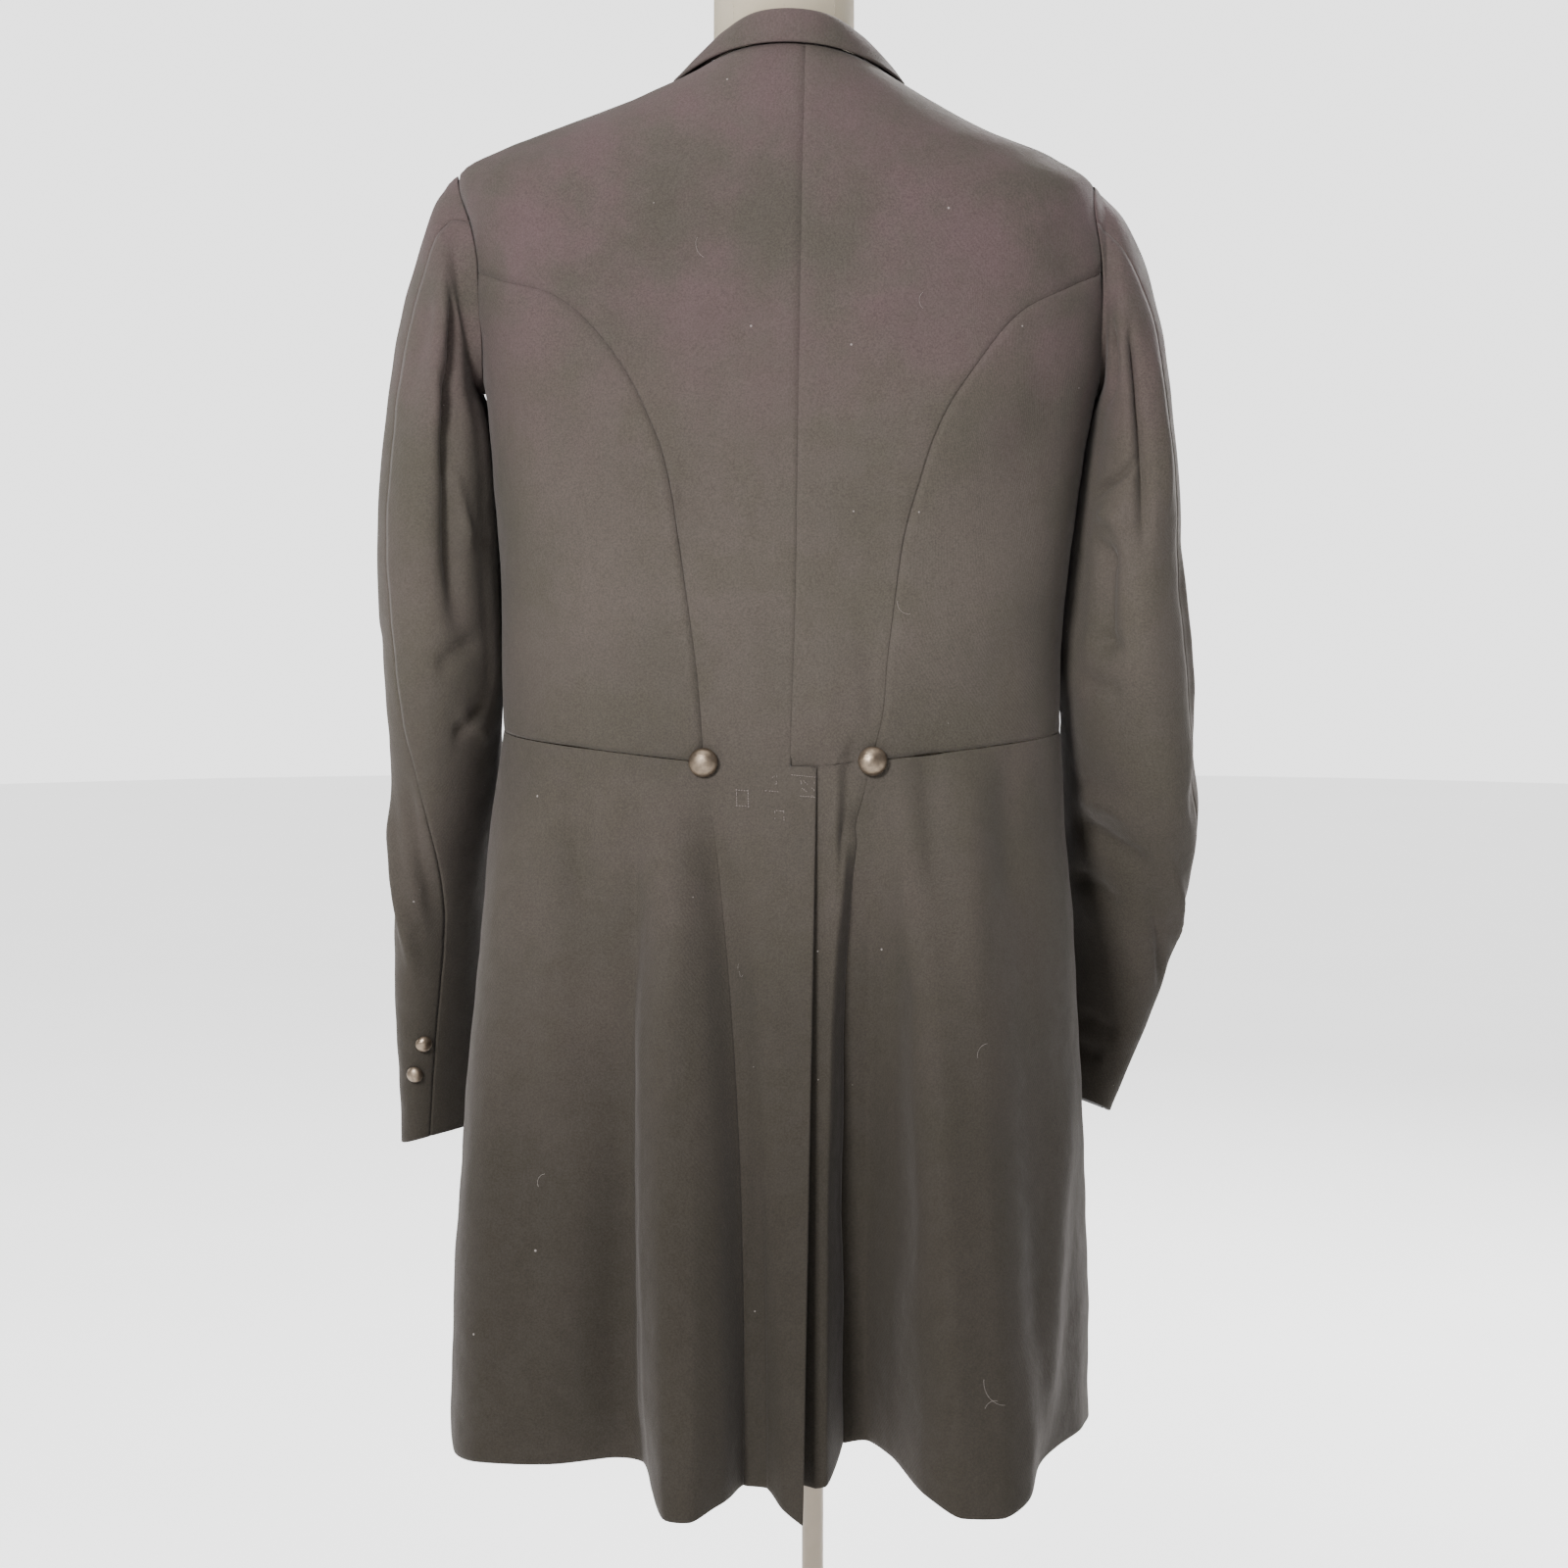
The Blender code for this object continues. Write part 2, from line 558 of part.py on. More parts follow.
def forepart_chart(side, rim):
    """Chart points of a forepart [across from the side, up from the waist]."""
    side_edge = np.vstack([side_seam(side, rim), even(rim[FOOT_OF_ARMHOLE:], FOREPART_ARMHOLE_ROWS)[1:]])
    neck_rows, roll_rows = 3, 6
    edge_rows = len(side_edge) - 1 - neck_rows - roll_rows
    corner = on_side(FRONT_EDGE_DEG, side)
    roll = roll_line(side, roll_rows)
    neck = straight(roll[-1], (on_side(SHOULDER_DEG, side), NECK_LEVEL), neck_rows)
    edge = np.vstack([straight((corner, 0.0), (corner, BREAK_LEVEL), edge_rows), roll[1:], neck[1:]])
    return coons(
        waist_line(side_edge[0, 0], corner, FOREPART_ACROSS),
        shoulder_line(side, FOREPART_ACROSS),
        side_edge,
        edge,
    )


def lapel_chart(side):
    """Chart points of a lapel [across from the roll line, up from the break]."""
    across, up = LAPEL_CELLS
    roll = roll_line(side, up)
    if side < 0:
        roll = curve(np.linspace(0, 1, up + 1), roll, np.linspace(RIGHT_LAPEL_START, 1, up + 1))
    edge = [(on_side(degrees, side), level) for degrees, level in LAPEL_EDGE]
    start = roll[0] + (roll[1] - roll[0]) * 0.15 + (side * 0.025, 0.0)
    outer = even([start, *edge[2 if side < 0 else 0 :]], up)
    notch = (on_side(LAPEL_NOTCH[0], side), LAPEL_NOTCH[1])
    top = np.array([roll[-1] * (1 - f) + np.array(notch) * f for f in np.linspace(0, 1, 3)])
    top = np.vstack([top, straight(notch, outer[-1], across - 2)[1:]])
    return coons(straight(roll[0], outer[0], across), top, roll, outer)


def front_rise(side, angle):
    """How far the left front stands over the right one, easing away from the centre."""
    past = np.clip((np.radians(-68.0) - angle) / np.radians(13.0), 0, 1) if side > 0 else 0 * angle
    return FRONT_STEP * past * past * (3 - 2 * past)


def tail_rows(side):
    """The tail's table with x as it is on its side."""
    rows = np.array(LEFT_TAIL if side > 0 else RIGHT_TAIL)
    rows[:, :2] *= side
    return rows


def hanging(waist, rows, down):
    """Points [across, down] of a hanging sheet from its waist points and (x, y, dip, x rate, y rate)."""
    x_hem, y_hem, dip, x_rate, y_rate = (rows[:, k, None] for k in range(5))
    x, y, z = (waist[:, k, None] for k in range(3))
    out, back = 1 - (1 - down) ** x_rate, 1 - (1 - down) ** y_rate
    return np.stack([x + (x_hem - x) * out, y + (y_hem - y) * back, z + (HEM - dip - z) * down], axis=-1)


def share_down(rows):
    """Shares of the way from the waist to the hem at which rows of cells end."""
    return (np.arange(rows) + 0.16) / (rows - 0.84)


def add_back(side, rim, seam):
    """A back panel and its tail in one piece."""
    chart = back_chart(side, rim, seam)
    upper = body(chart[..., 0], chart[..., 1])
    upper_normals = body_normal(chart[..., 0], chart[..., 1])
    rows = tail_rows(side)
    rows = table(rows, np.linspace(0, len(rows) - 1, BACK_ACROSS + 1))
    angles = np.array([waist_angle(x) for x in rows[:, 0]])
    down = share_down(TAIL_ROWS)
    lower = hanging(body(angles, 0.0), rows[:, 1:], down)[:, ::-1]
    flat = body_normal(angles, np.zeros_like(angles))[:, None]
    blend = np.clip(down[::-1] / 0.12, 0, 1)[None, :, None]
    lower_normals = unit(grid_normals(lower, flat) * blend + flat * (1 - blend))
    if side < 0:
        lower_under = np.clip((lower[..., 0] + 0.034) / 0.011, 0, 1)
        upper_under = np.clip((upper[..., 0] + 0.034) / 0.011, 0, 1)
        upper_under *= np.clip((1.003 - upper[..., 2]) / 0.008, 0, 1)
        lower = lower - lower_normals * (lower_under * VENT_STEP)[..., None]
        upper = upper - upper_normals * (upper_under * VENT_STEP)[..., None]
    points = np.concatenate([lower, upper], axis=1)
    normals = np.concatenate([lower_normals, upper_normals], axis=1)
    points = trimmed(points, normals, ("left", "right", "top"))
    add_sheet(f"back_{name_of(side)}", points, points - normals * WALL)


def add_skirt(side):
    """A skirt from the front edge to the pleat under its hip button."""
    rows = np.array(LEFT_SKIRT if side > 0 else RIGHT_SKIRT)
    rows[:, 0] = on_side(rows[:, 0], side)
    rows[:, 1] *= side
    end = tail_rows(side)[-1]
    rows = np.vstack([rows, [waist_angle(end[0]), *end[1:]]])
    rows = table(rows, np.linspace(0, len(rows) - 1, SKIRT_ACROSS + 1))
    waist = body(rows[:, 0], 0.0)
    down = np.concatenate([[0.0], share_down(TAIL_ROWS)])
    points = hanging(waist, rows[:, 1:], down)[:, ::-1]
    flat = body_normal(rows[:, 0], np.zeros(len(rows)))[:, None]
    normals = grid_normals(points, flat)
    points = points + flat * front_rise(side, rows[:, 0])[:, None, None]
    points = trimmed(points, normals, ("right", "top"))
    add_sheet(f"skirt_{name_of(side)}", points, points - normals * WALL)


def sleeve_seams(side, share):
    """Angles of the hind and the front seam round the ring at a share of the way down a sleeve."""
    rows = LEFT_SLEEVE_SEAMS if side > 0 else RIGHT_SLEEVE_SEAMS
    return np.radians(curve([row[0] for row in rows], [row[1:] for row in rows], share))


def sleeve_ring(row, around, side):
    """Points of one ring of a sleeve at angles from its outermost point backwards, and its middle."""
    outer_x, outer_z, inner_x, inner_z, y, deep, turn = row
    turn = np.radians(turn)
    half = np.array([(outer_x - inner_x) / 2, 0, (outer_z - inner_z) / 2])
    out = np.array([half[0] * np.cos(turn), -half[0] * np.sin(turn), half[2]])
    back = deep * np.array([np.sin(turn), np.cos(turn), 0])
    middle = np.array([(outer_x + inner_x) / 2, y, (outer_z + inner_z) / 2])
    points = middle + np.cos(around)[:, None] * out + np.sin(around)[:, None] * back
    return points * (side, 1, 1), middle * (side, 1, 1)


def armhole_ring(rim, around):
    """Points and body directions round the armhole at the sleeve's ring angles, and directions off it."""
    places = body(rim[:-1, 0], rim[:-1, 1])
    middle = places.mean(axis=0)
    turn = np.unwrap(np.arctan2(places[:, 1] - middle[1], places[:, 2] - middle[2]))
    knots = np.concatenate([turn - 2 * np.pi, turn, turn + 2 * np.pi])
    chart = curve(knots, np.vstack([rim[:-1]] * 3), around)
    points = body(chart[:, 0], chart[:, 1])
    normals = body_normal(chart[:, 0], chart[:, 1])
    ahead = body(*curve(knots, np.vstack([rim[:-1]] * 3), around + 0.01).T)
    off = unit(np.cross(normals, ahead - points))
    off *= np.sign(np.sum(off * (points - middle), axis=-1, keepdims=True))
    return points, normals, off


def add_sleeve(side, rim):
    """A top sleeve and an under sleeve, and the buttons at the cuff."""
    sleeve = LEFT_SLEEVE if side > 0 else RIGHT_SLEEVE
    rows = table(sleeve, np.linspace(0, len(sleeve) - 1, SLEEVE_ROWS))
    seams = sleeve_seams(side, np.linspace(0, 1, SLEEVE_ROWS))
    top_cells, under_cells = SLEEVE_AROUND
    for part, cells in (("top", top_cells), ("under", under_cells)):
        outer, inner = [], []
        for row, (hind, front) in zip(rows, seams):
            ends = (front - 2 * np.pi, hind) if part == "top" else (hind, front)
            around = np.linspace(*ends, cells + 1)
            points, middle = sleeve_ring(row, around, side)
            small = 0.02
            beside = sleeve_ring(row, around + small, side)[0] - sleeve_ring(row, around - small, side)[0]
            outer.append(points)
            inner.append((beside, points - middle))
        points = np.array(outer)
        beside = np.array([pair[0] for pair in inner])
        outward = np.array([pair[1] for pair in inner])
        normals = unit(np.cross(beside, np.gradient(points, axis=0)))
        normals *= np.sign(np.sum(normals * outward))
        around = np.linspace(*((seams[0, 1] - 2 * np.pi, seams[0, 0]) if part == "top" else seams[0]), cells + 1)
        rim_points, rim_normals, off = armhole_ring(rim, around)
        foot = rim_points + rim_normals * ARMHOLE_GAP + off * 0.0003
        points = np.concatenate([(foot + off * WALL)[None], points])
        normals = np.concatenate([off[None], normals])
        points = np.swapaxes(points, 0, 1)
        normals = np.swapaxes(normals, 0, 1)
        points = trimmed(points, normals, ("left", "right"))
        add_sheet(f"{part}_sleeve_{name_of(side)}", points, points - normals * WALL)
    for name, place, before in CUFF_BUTTONS:
        places = np.array([place - 0.01, place, place + 0.01]) * (len(sleeve) - 1)
        above, here, below = table(sleeve, places)
        hind = sleeve_seams(side, place)[0] - np.radians(before)
        ring, middle = sleeve_ring(here, np.array([hind - 0.02, hind, hind + 0.02]), side)
        down = sleeve_ring(below, np.array([hind]), side)[0][0] - sleeve_ring(above, np.array([hind]), side)[0][0]
        direction = np.cross(ring[2] - ring[0], down)
        direction *= np.sign(np.dot(direction, ring[1] - middle))
        centre = ring[1] + (COAT_SHIFT, 0, 0)
        add_button(f"cuff_button_{name_of(side)}_{name}", CUFF_BUTTON, centre, direction)


def add_collar():
    """The collar's stand and fall in one folded strip round the neck."""
    places = np.linspace(COLLAR[0][0], COLLAR[-1][0], COLLAR_AROUND + 1)
    rows = curve([row[0] for row in COLLAR], [row[1:] for row in COLLAR], places)
    angles = np.radians(places) + np.pi / 2
    section = []
    for angle, (rise, lean, apart, leaf) in zip(angles, rows):
        neck = body(angle, NECK_LEVEL) - body_normal(angle, NECK_LEVEL) * WALL / 2
        out = unit(body_normal(angle, NECK_LEVEL) * (1, 1, 0))
        up = np.array([0, 0, 1.0])
        foot = neck + up * 0.0014
        fall = body(angle, NECK_LEVEL - leaf) + body_normal(angle, NECK_LEVEL - leaf) * (COLLAR_GAP + WALL / 2)
        top = neck + up * rise - out * lean
        inner = top - up * 0.0018
        outer = inner + out * apart
        section.append(
            [
                foot,
                foot * 0.45 + inner * 0.55,
                inner,
                top + out * apart * 0.5,
                outer,
                outer * 0.55 + fall * 0.45 + out * 0.0012,
                fall,
            ]
        )
    points = np.array(section)
    beyond = points[:, -1] - points[:, 0] + (0, 0, 0.03)
    normals = grid_normals(points, beyond[:, None])
    add_sheet("collar", points + normals * WALL / 2, points - normals * WALL / 2)


def form_inset(angle, level):
    """How far the form lies inside the coat's outer face."""
    ridge = np.exp(-(((np.sin(angle) - np.sin(np.radians(SHOULDER_DEG))) / RIDGE_WIDTH) ** 2))
    ridge = ridge * np.clip((level - 6.6) / 0.5, 0, 1) * np.clip((7.8 - level) / 0.4, 0, 1)
    at_neck = NECK_EASE * np.clip((level - 7.4) / 0.8, 0, 1)
    return WALL + FORM_EASE - (FORM_EASE - RIDGE_GAP) * ridge + at_neck


def add_form():
    """The limbless form with its neck, the cap, the pole, its socket and the base."""
    seams = np.radians([SHOULDER_DEG, 180 - SHOULDER_DEG, 360 + SHOULDER_DEG])
    behind = FORM_AROUND // 2 - 1
    angles = np.concatenate(
        [
            np.linspace(seams[0], seams[1], behind, endpoint=False),
            np.linspace(seams[1], seams[2], FORM_AROUND - behind, endpoint=False),
        ]
    )
    c, s = np.cos(angles), np.sin(angles)
    shift = np.array([COAT_SHIFT, 0, 0])
    rings = []
    for z, half, back, front in FORM_HIPS:
        deep = np.where(s >= 0, back, front)
        reach = (np.abs(c / half) ** 2.3 + np.abs(s / deep) ** 2.3) ** (-1 / 2.3)
        rings.append(np.stack([0.002 + reach * c, reach * s, np.full(FORM_AROUND, z)], axis=-1) + shift)
    for level in (0.0, 1.0, 2.0, 2.7, 3.4, 4.1, 4.8, 5.4, 5.9, 6.3, 6.7, 7.2, 7.8, 8.2, 8.6):
        points = body(angles, np.full(FORM_AROUND, level))
        inset = form_inset(angles, level)
        rings.append(points - body_normal(angles, np.full(FORM_AROUND, level)) * inset[:, None] + shift)
    deep = np.where(s >= 0, NECK_BACK, NECK_FRONT)
    low = body(angles, np.full(FORM_AROUND, NECK_LEVEL))[:, 2]
    for z, share in ((low - 0.005, 1.0), (1.486, 1.0), (NECK_TOP - 0.004, 0.96), (NECK_TOP, 0.90)):
        ring = [NECK_HALF_WIDTH * share * c, deep * share * s, z + 0 * c]
        rings.append(np.stack(ring, axis=-1) + shift)
    bottom = (COAT_SHIFT, 0, FORM_HIPS[0][0])
    add_rings("form_body", "form_cover", rings, bottom, (COAT_SHIFT, 0, NECK_TOP))
    foot = NECK_TOP + SEAM_GAP
    low = [(0, 0), (0.040, 0), (0.0425, 0.003), (0.040, CAP_HEIGHT * 0.7), (0.030, CAP_HEIGHT), (0, CAP_HEIGHT)]
    add_turned("form_cap", "stand_paint", low, 28, (COAT_SHIFT, -0.002, foot), (0, 0, 1))
    low, high = BASE_HEIGHT + SEAM_GAP, FORM_HIPS[0][0] - SEAM_GAP
    pole = [(0, low), (POLE_RADIUS, low), (POLE_RADIUS, high), (0, high)]
    add_turned("form_pole", "stand_paint", pole, 24, (0, 0, 0), (0, 0, 1))
    base = [
        (0, 0),
        (BASE_RADIUS - 0.003, 0),
        (BASE_RADIUS, 0.003),
        (BASE_RADIUS, 0.008),
        (BASE_RADIUS - 0.008, BASE_HEIGHT - 0.003),
        (0.060, BASE_HEIGHT),
        (0, BASE_HEIGHT),
    ]
    add_turned("form_base", "stand_paint", base, 48, (0, 0, 0), (0, 0, 1))
    add_socket()


def add_socket():
    """The ring that holds the pole on the base."""
    inner = POLE_RADIUS + SEAM_GAP
    low, high = BASE_HEIGHT + SEAM_GAP, BASE_HEIGHT + SOCKET_HEIGHT
    profile = [
        (inner, low),
        (SOCKET_RADIUS + 0.008, low),
        (SOCKET_RADIUS + 0.006, low + 0.006),
        (SOCKET_RADIUS * 0.72, low + 0.014),
        (SOCKET_RADIUS * 0.66, high - 0.002),
        (SOCKET_RADIUS * 0.58, high),
        (inner, high),
    ]
    count = 24
    turn = np.linspace(0, 2 * np.pi, count, endpoint=False)
    vertices = [(r * np.cos(t), r * np.sin(t), z) for r, z in profile for t in turn]
    faces = []
    for r in range(len(profile)):
        low_row, high_row = r * count, (r + 1) % len(profile) * count
        for k in range(count):
            n = (k + 1) % count
            faces.append((low_row + k, low_row + n, high_row + n, high_row + k))
    add_object("form_socket", "stand_paint", vertices, faces)


def add_hip_button(side):
    """The button at the head of a back pleat."""
    angle = waist_angle(tail_rows(side)[-1][0])
    centre = body(angle, 0.0) + (COAT_SHIFT, 0, 0)
    direction = body_normal(angle, 0.0) + (0, 0, HIP_BUTTON_TILT)
    add_button(f"hip_button_{name_of(side)}", HIP_BUTTON, centre, direction, HIP_BUTTON_GAP)


def add_front_buttons():
    """The plain buttons that close the front, on the left forepart's edge."""
    angle = np.radians(-90.5)
    for number, level in enumerate(FRONT_BUTTON_LEVELS, 1):
        normal = body_normal(angle, level)
        centre = body(angle, level) + normal * front_rise(1, angle) + (COAT_SHIFT, 0, 0)
        add_button(f"front_button_{number}", FRONT_BUTTON, centre, normal)


def main():
    for obj in list(bpy.data.objects):
        bpy.data.objects.remove(obj)
    for name, (colour, roughness, metallic) in FINISHES.items():
        material = bpy.data.materials.new(name)
        material.use_nodes = True
        shader = material.node_tree.nodes["Principled BSDF"]
        shader.inputs["Base Color"].default_value = (*colour, 1)
        shader.inputs["Roughness"].default_value = roughness
        shader.inputs["Metallic"].default_value = metallic
    for side in (1, -1):
        rim = armhole(side)
        seam = side_body_seam(side, rim)
        add_back(side, rim, seam)
        add_body_sheet(f"sidebody_{name_of(side)}", side_body_chart(side, rim, seam), ("left", "right", "bottom"))
        chart = forepart_chart(side, rim)
        add_body_sheet(
            f"forepart_{name_of(side)}", chart, ("left", "bottom", "top"), front_rise(side, chart[..., 0])
        )
        chart = lapel_chart(side)
        raised = front_rise(side, chart[..., 0]) + LAPEL_GAP + WALL
        add_body_sheet(f"lapel_{name_of(side)}", chart, (), raised)
        add_skirt(side)
        add_sleeve(side, rim)
        add_hip_button(side)
    add_collar()
    add_front_buttons()
    add_form()


main()
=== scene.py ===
"""Looks of a man's frock coat worn on a limbless dress form.

Lengths are in metres.  The wearer faces -Y and the pole stands on the origin.  The coat's body is one
smooth surface read by angle and level, each panel is a patch of it, and skirts and tails hang from its
waist.  Every panel gets its thickness, seams, creases and lining here.
"""

import math

import bpy
import numpy as np
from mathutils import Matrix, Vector


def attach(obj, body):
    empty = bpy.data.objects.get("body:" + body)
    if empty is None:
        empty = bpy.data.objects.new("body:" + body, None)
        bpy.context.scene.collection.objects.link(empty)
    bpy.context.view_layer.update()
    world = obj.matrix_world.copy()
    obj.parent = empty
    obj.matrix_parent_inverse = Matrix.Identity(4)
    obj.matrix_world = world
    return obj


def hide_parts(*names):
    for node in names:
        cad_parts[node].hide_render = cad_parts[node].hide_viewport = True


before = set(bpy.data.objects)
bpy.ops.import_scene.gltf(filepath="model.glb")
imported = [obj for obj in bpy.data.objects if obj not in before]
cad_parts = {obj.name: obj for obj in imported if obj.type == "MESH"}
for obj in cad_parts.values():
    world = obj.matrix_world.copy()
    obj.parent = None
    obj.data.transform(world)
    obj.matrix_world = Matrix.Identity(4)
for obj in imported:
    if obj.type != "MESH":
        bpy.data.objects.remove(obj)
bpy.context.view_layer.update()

bl_info = {
    "name": "Frock coat on a dress form",
    "version": (1, 0, 0),
    "blender": (4, 5, 0),
    "location": "View3D > Sidebar > Coat",
    "description": "Builds the cloth, sewing, buttons and form of a frock coat around its solids",
    "category": "Object",
}

# Seams and layers
SEAM_GAP = 0.0003          # between neighbouring pieces
VENT_STEP = 0.0024         # how far the right tail lies under the left one
FRONT_STEP = 0.0032        # how far the left front stands over the right one
LAPEL_GAP = 0.0011
COLLAR_GAP = 0.0015
BUTTON_GAP = 0.0007
HIP_BUTTON_GAP = 0.0016    # its cloth flares below the waist
HIP_BUTTON_TILT = 0.12
COAT_SHIFT = 0.020         # the coat's middle stands this far to the wearer's left of the pole

# Form and stand
RIDGE_GAP = 0.0006         # form to coat along the shoulder seams, where the coat rests
FORM_EASE = 0.0060         # form to coat elsewhere
NECK_EASE = 0.0030         # more of it near the neck
RIDGE_WIDTH = 0.06         # sine of the angle in which the form falls away from the cloth
NECK_HALF_WIDTH = 0.0470
NECK_BACK = 0.053
NECK_FRONT = 0.036
NECK_TOP = 1.528
CAP_HEIGHT = 0.012
POLE_RADIUS = 0.0075
BASE_RADIUS = 0.180
BASE_HEIGHT = 0.016
SOCKET_RADIUS = 0.021
SOCKET_HEIGHT = 0.048

# Buttons: across
HIP_BUTTON = 0.0195
CUFF_BUTTON = 0.0118
FRONT_BUTTON = 0.0190

HEM = 0.545                # height of the hem where no fold lowers it
NECK_LEVEL = 9.0           # last row of BODY
TIP_LEVEL = 6.0            # row of BODY at the shoulder tip
SHOULDER_DEG = 4.0         # the shoulder seam lies this far behind the ridge
SIDE_SEAM_DEG = -3.0
FRONT_EDGE_DEG = -97.0     # the fronts reach this far, past the centre front at -90
ROLL_DEG = -52.0           # the roll line leaves the neck here
BREAK_LEVEL = 4.10         # and starts at this level of the front edge
FRONT_BUTTON_LEVELS = (0.35, 1.44, 2.24, 2.75, 3.46)
SHOULDER_TILT = 0.017      # the left shoulder is carried higher, in metres per metre across

# The coat's outer face, a row per level from the waist up: half width, depth of the back and of the
# front, sideways shift, height at the side, back and front, and how square the plan is
BODY = (
    (0.1890, 0.112, 0.112, 0.0020, 1.0085, 0.9940, 1.0060, 2.4),
    (0.1893, 0.115, 0.115, 0.0015, 1.0540, 1.0500, 1.0520, 2.45),
    (0.1915, 0.120, 0.120, 0.0005, 1.1020, 1.1050, 1.1020, 2.5),
    (0.2005, 0.123, 0.129, -0.0035, 1.2040, 1.2100, 1.2040, 2.7),
    (0.2090, 0.120, 0.130, -0.0050, 1.2600, 1.2720, 1.2600, 3.0),
    (0.2165, 0.114, 0.122, -0.0040, 1.3180, 1.3300, 1.3200, 3.0),
    (0.2130, 0.106, 0.104, 0.0050, 1.3740, 1.3770, 1.3700, 2.7),
    (0.1850, 0.098, 0.088, 0.0040, 1.3940, 1.4060, 1.3960, 2.3),
    (0.1310, 0.087, 0.068, 0.0020, 1.4160, 1.4350, 1.4140, 2.1),
    (0.0615, 0.071, 0.046, -0.0050, 1.4470, 1.4640, 1.4280, 2.0),
)

# The form below the waist: height, half width, depth behind and in front
FORM_HIPS = (
    (0.845, 0.165, 0.100, 0.088),
    (0.862, 0.171, 0.106, 0.093),
    (0.930, 0.176, 0.107, 0.098),
)

# Armhole seen from the side, from the shoulder seam backwards and round: y, z
ARMHOLE = (
    (0.0370, 1.3640),
    (0.0540, 1.3400),
    (0.0590, 1.3150),
    (0.0525, 1.2760),
    (0.0310, 1.2470),
    (-0.0050, 1.2370),
    (-0.0370, 1.2490),
    (-0.0545, 1.2800),
    (-0.0560, 1.3150),
    (-0.0440, 1.3480),
    (-0.0160, 1.3720),
)
BACK_OF_ARMHOLE = 3        # row where the side body's seam starts, the shoulder seam being row 0
FOOT_OF_ARMHOLE = 6        # row where the side seam starts

# Seam between back and side body from the armhole to the hip button: x and z on the left, on the right
SIDE_BODY_SEAM = (
    (0.1840, 1.3090, 0.1900, 1.3060),
    (0.1520, 1.3010, 0.1550, 1.2900),
    (0.1140, 1.2680, 0.1150, 1.2420),
    (0.0870, 1.2210, 0.0900, 1.1880),
    (0.0710, 1.1610, 0.0755, 1.1300),
    (0.0620, 1.0980, 0.0680, 1.0700),
    (0.0560, 1.0470, 0.0655, 1.0350),
)

# Centre back seam: level, x
CENTRE_BACK = ((0.0, -0.0040), (3.0, -0.0088), (9.0, -0.0140))

# Tails from the vent edge to the pleat, a row per crest or trough: x at the waist, x and y at the hem,
# dip of the hem there, and how fast the row moves sideways and back on the way down
LEFT_TAIL = (
    (-0.0210, -0.0112, 0.222, 0.0255, 1.0, 1.15),
    (0.0020, 0.0010, 0.212, 0.0185, 1.1, 1.2),
    (0.0330, 0.0125, 0.198, 0.0085, 2.0, 1.3),
    (0.0525, 0.0222, 0.201, 0.0083, 2.3, 1.3),
)
RIGHT_TAIL = (
    (-0.0140, -0.0100, 0.182, 0.0080, 1.0, 1.1),
    (0.0000, 0.0060, 0.190, 0.0080, 1.0, 1.1),
    (0.0210, 0.0200, 0.200, 0.0083, 1.2, 1.15),
    (0.0380, 0.0280, 0.197, 0.0080, 3.0, 1.2),
    (0.0575, 0.0385, 0.142, -0.0050, 6.0, 1.2),
)

# Skirts from the front edge back, a row per crest or trough: angle at the waist, x and y at the hem,
# dip of the hem there, and how fast the row moves sideways and out.  The tail's last row ends them.
LEFT_SKIRT = (
    (-97.0, -0.0180, -0.150, 0.0000, 1.7, 1.4),
    (-72.0, 0.0700, -0.153, 0.0000, 1.7, 1.4),
    (-47.0, 0.1400, -0.130, 0.0000, 1.7, 1.4),
    (-26.0, 0.1900, -0.083, 0.0000, 1.7, 1.5),
    (-9.0, 0.2190, -0.015, 0.0000, 1.7, 1.5),
    (4.0, 0.2256, 0.050, 0.0000, 1.7, 1.5),
    (13.0, 0.2190, 0.122, 0.0070, 1.7, 1.5),
    (20.0, 0.1970, 0.156, 0.0040, 1.7, 1.5),
    (30.0, 0.1550, 0.162, 0.0035, 1.6, 1.5),
    (41.0, 0.1100, 0.154, 0.0010, 1.5, 1.5),
    (46.0, 0.0915, 0.162, 0.0020, 1.5, 1.4),
    (49.0, 0.0850, 0.199, 0.0090, 1.6, 1.3),
    (52.5, 0.0760, 0.233, 0.0185, 1.7, 1.25),
    (56.5, 0.0600, 0.241, 0.0175, 1.8, 1.2),
    (61.0, 0.0420, 0.226, 0.0115, 2.0, 1.25),
)
RIGHT_SKIRT = (
    (-97.0, -0.0180, -0.146, 0.0000, 1.6, 1.4),
    (-72.0, 0.0800, -0.143, 0.0000, 1.6, 1.4),
    (-47.0, 0.1450, -0.115, 0.0000, 1.6, 1.5),
    (-26.0, 0.1860, -0.065, 0.0000, 1.6, 1.5),
    (-9.0, 0.2050, -0.005, 0.0000, 1.6, 1.5),
    (4.0, 0.2082, 0.050, 0.0000, 1.6, 1.5),
    (13.0, 0.2010, 0.090, -0.0010, 1.6, 1.5),
    (20.0, 0.1810, 0.140, -0.0020, 1.5, 1.5),
    (28.0, 0.1640, 0.181, 0.0000, 1.4, 1.4),
    (34.0, 0.1560, 0.215, 0.0110, 1.4, 1.3),
    (41.0, 0.1380, 0.236, 0.0165, 1.4, 1.3),
    (48.0, 0.1140, 0.239, 0.0155, 1.4, 1.3),
    (53.0, 0.0900, 0.222, 0.0060, 1.5, 1.3),
    (57.0, 0.0690, 0.170, -0.0050, 1.8, 1.3),
    (60.5, 0.0520, 0.142, -0.0070, 3.0, 1.2),
)

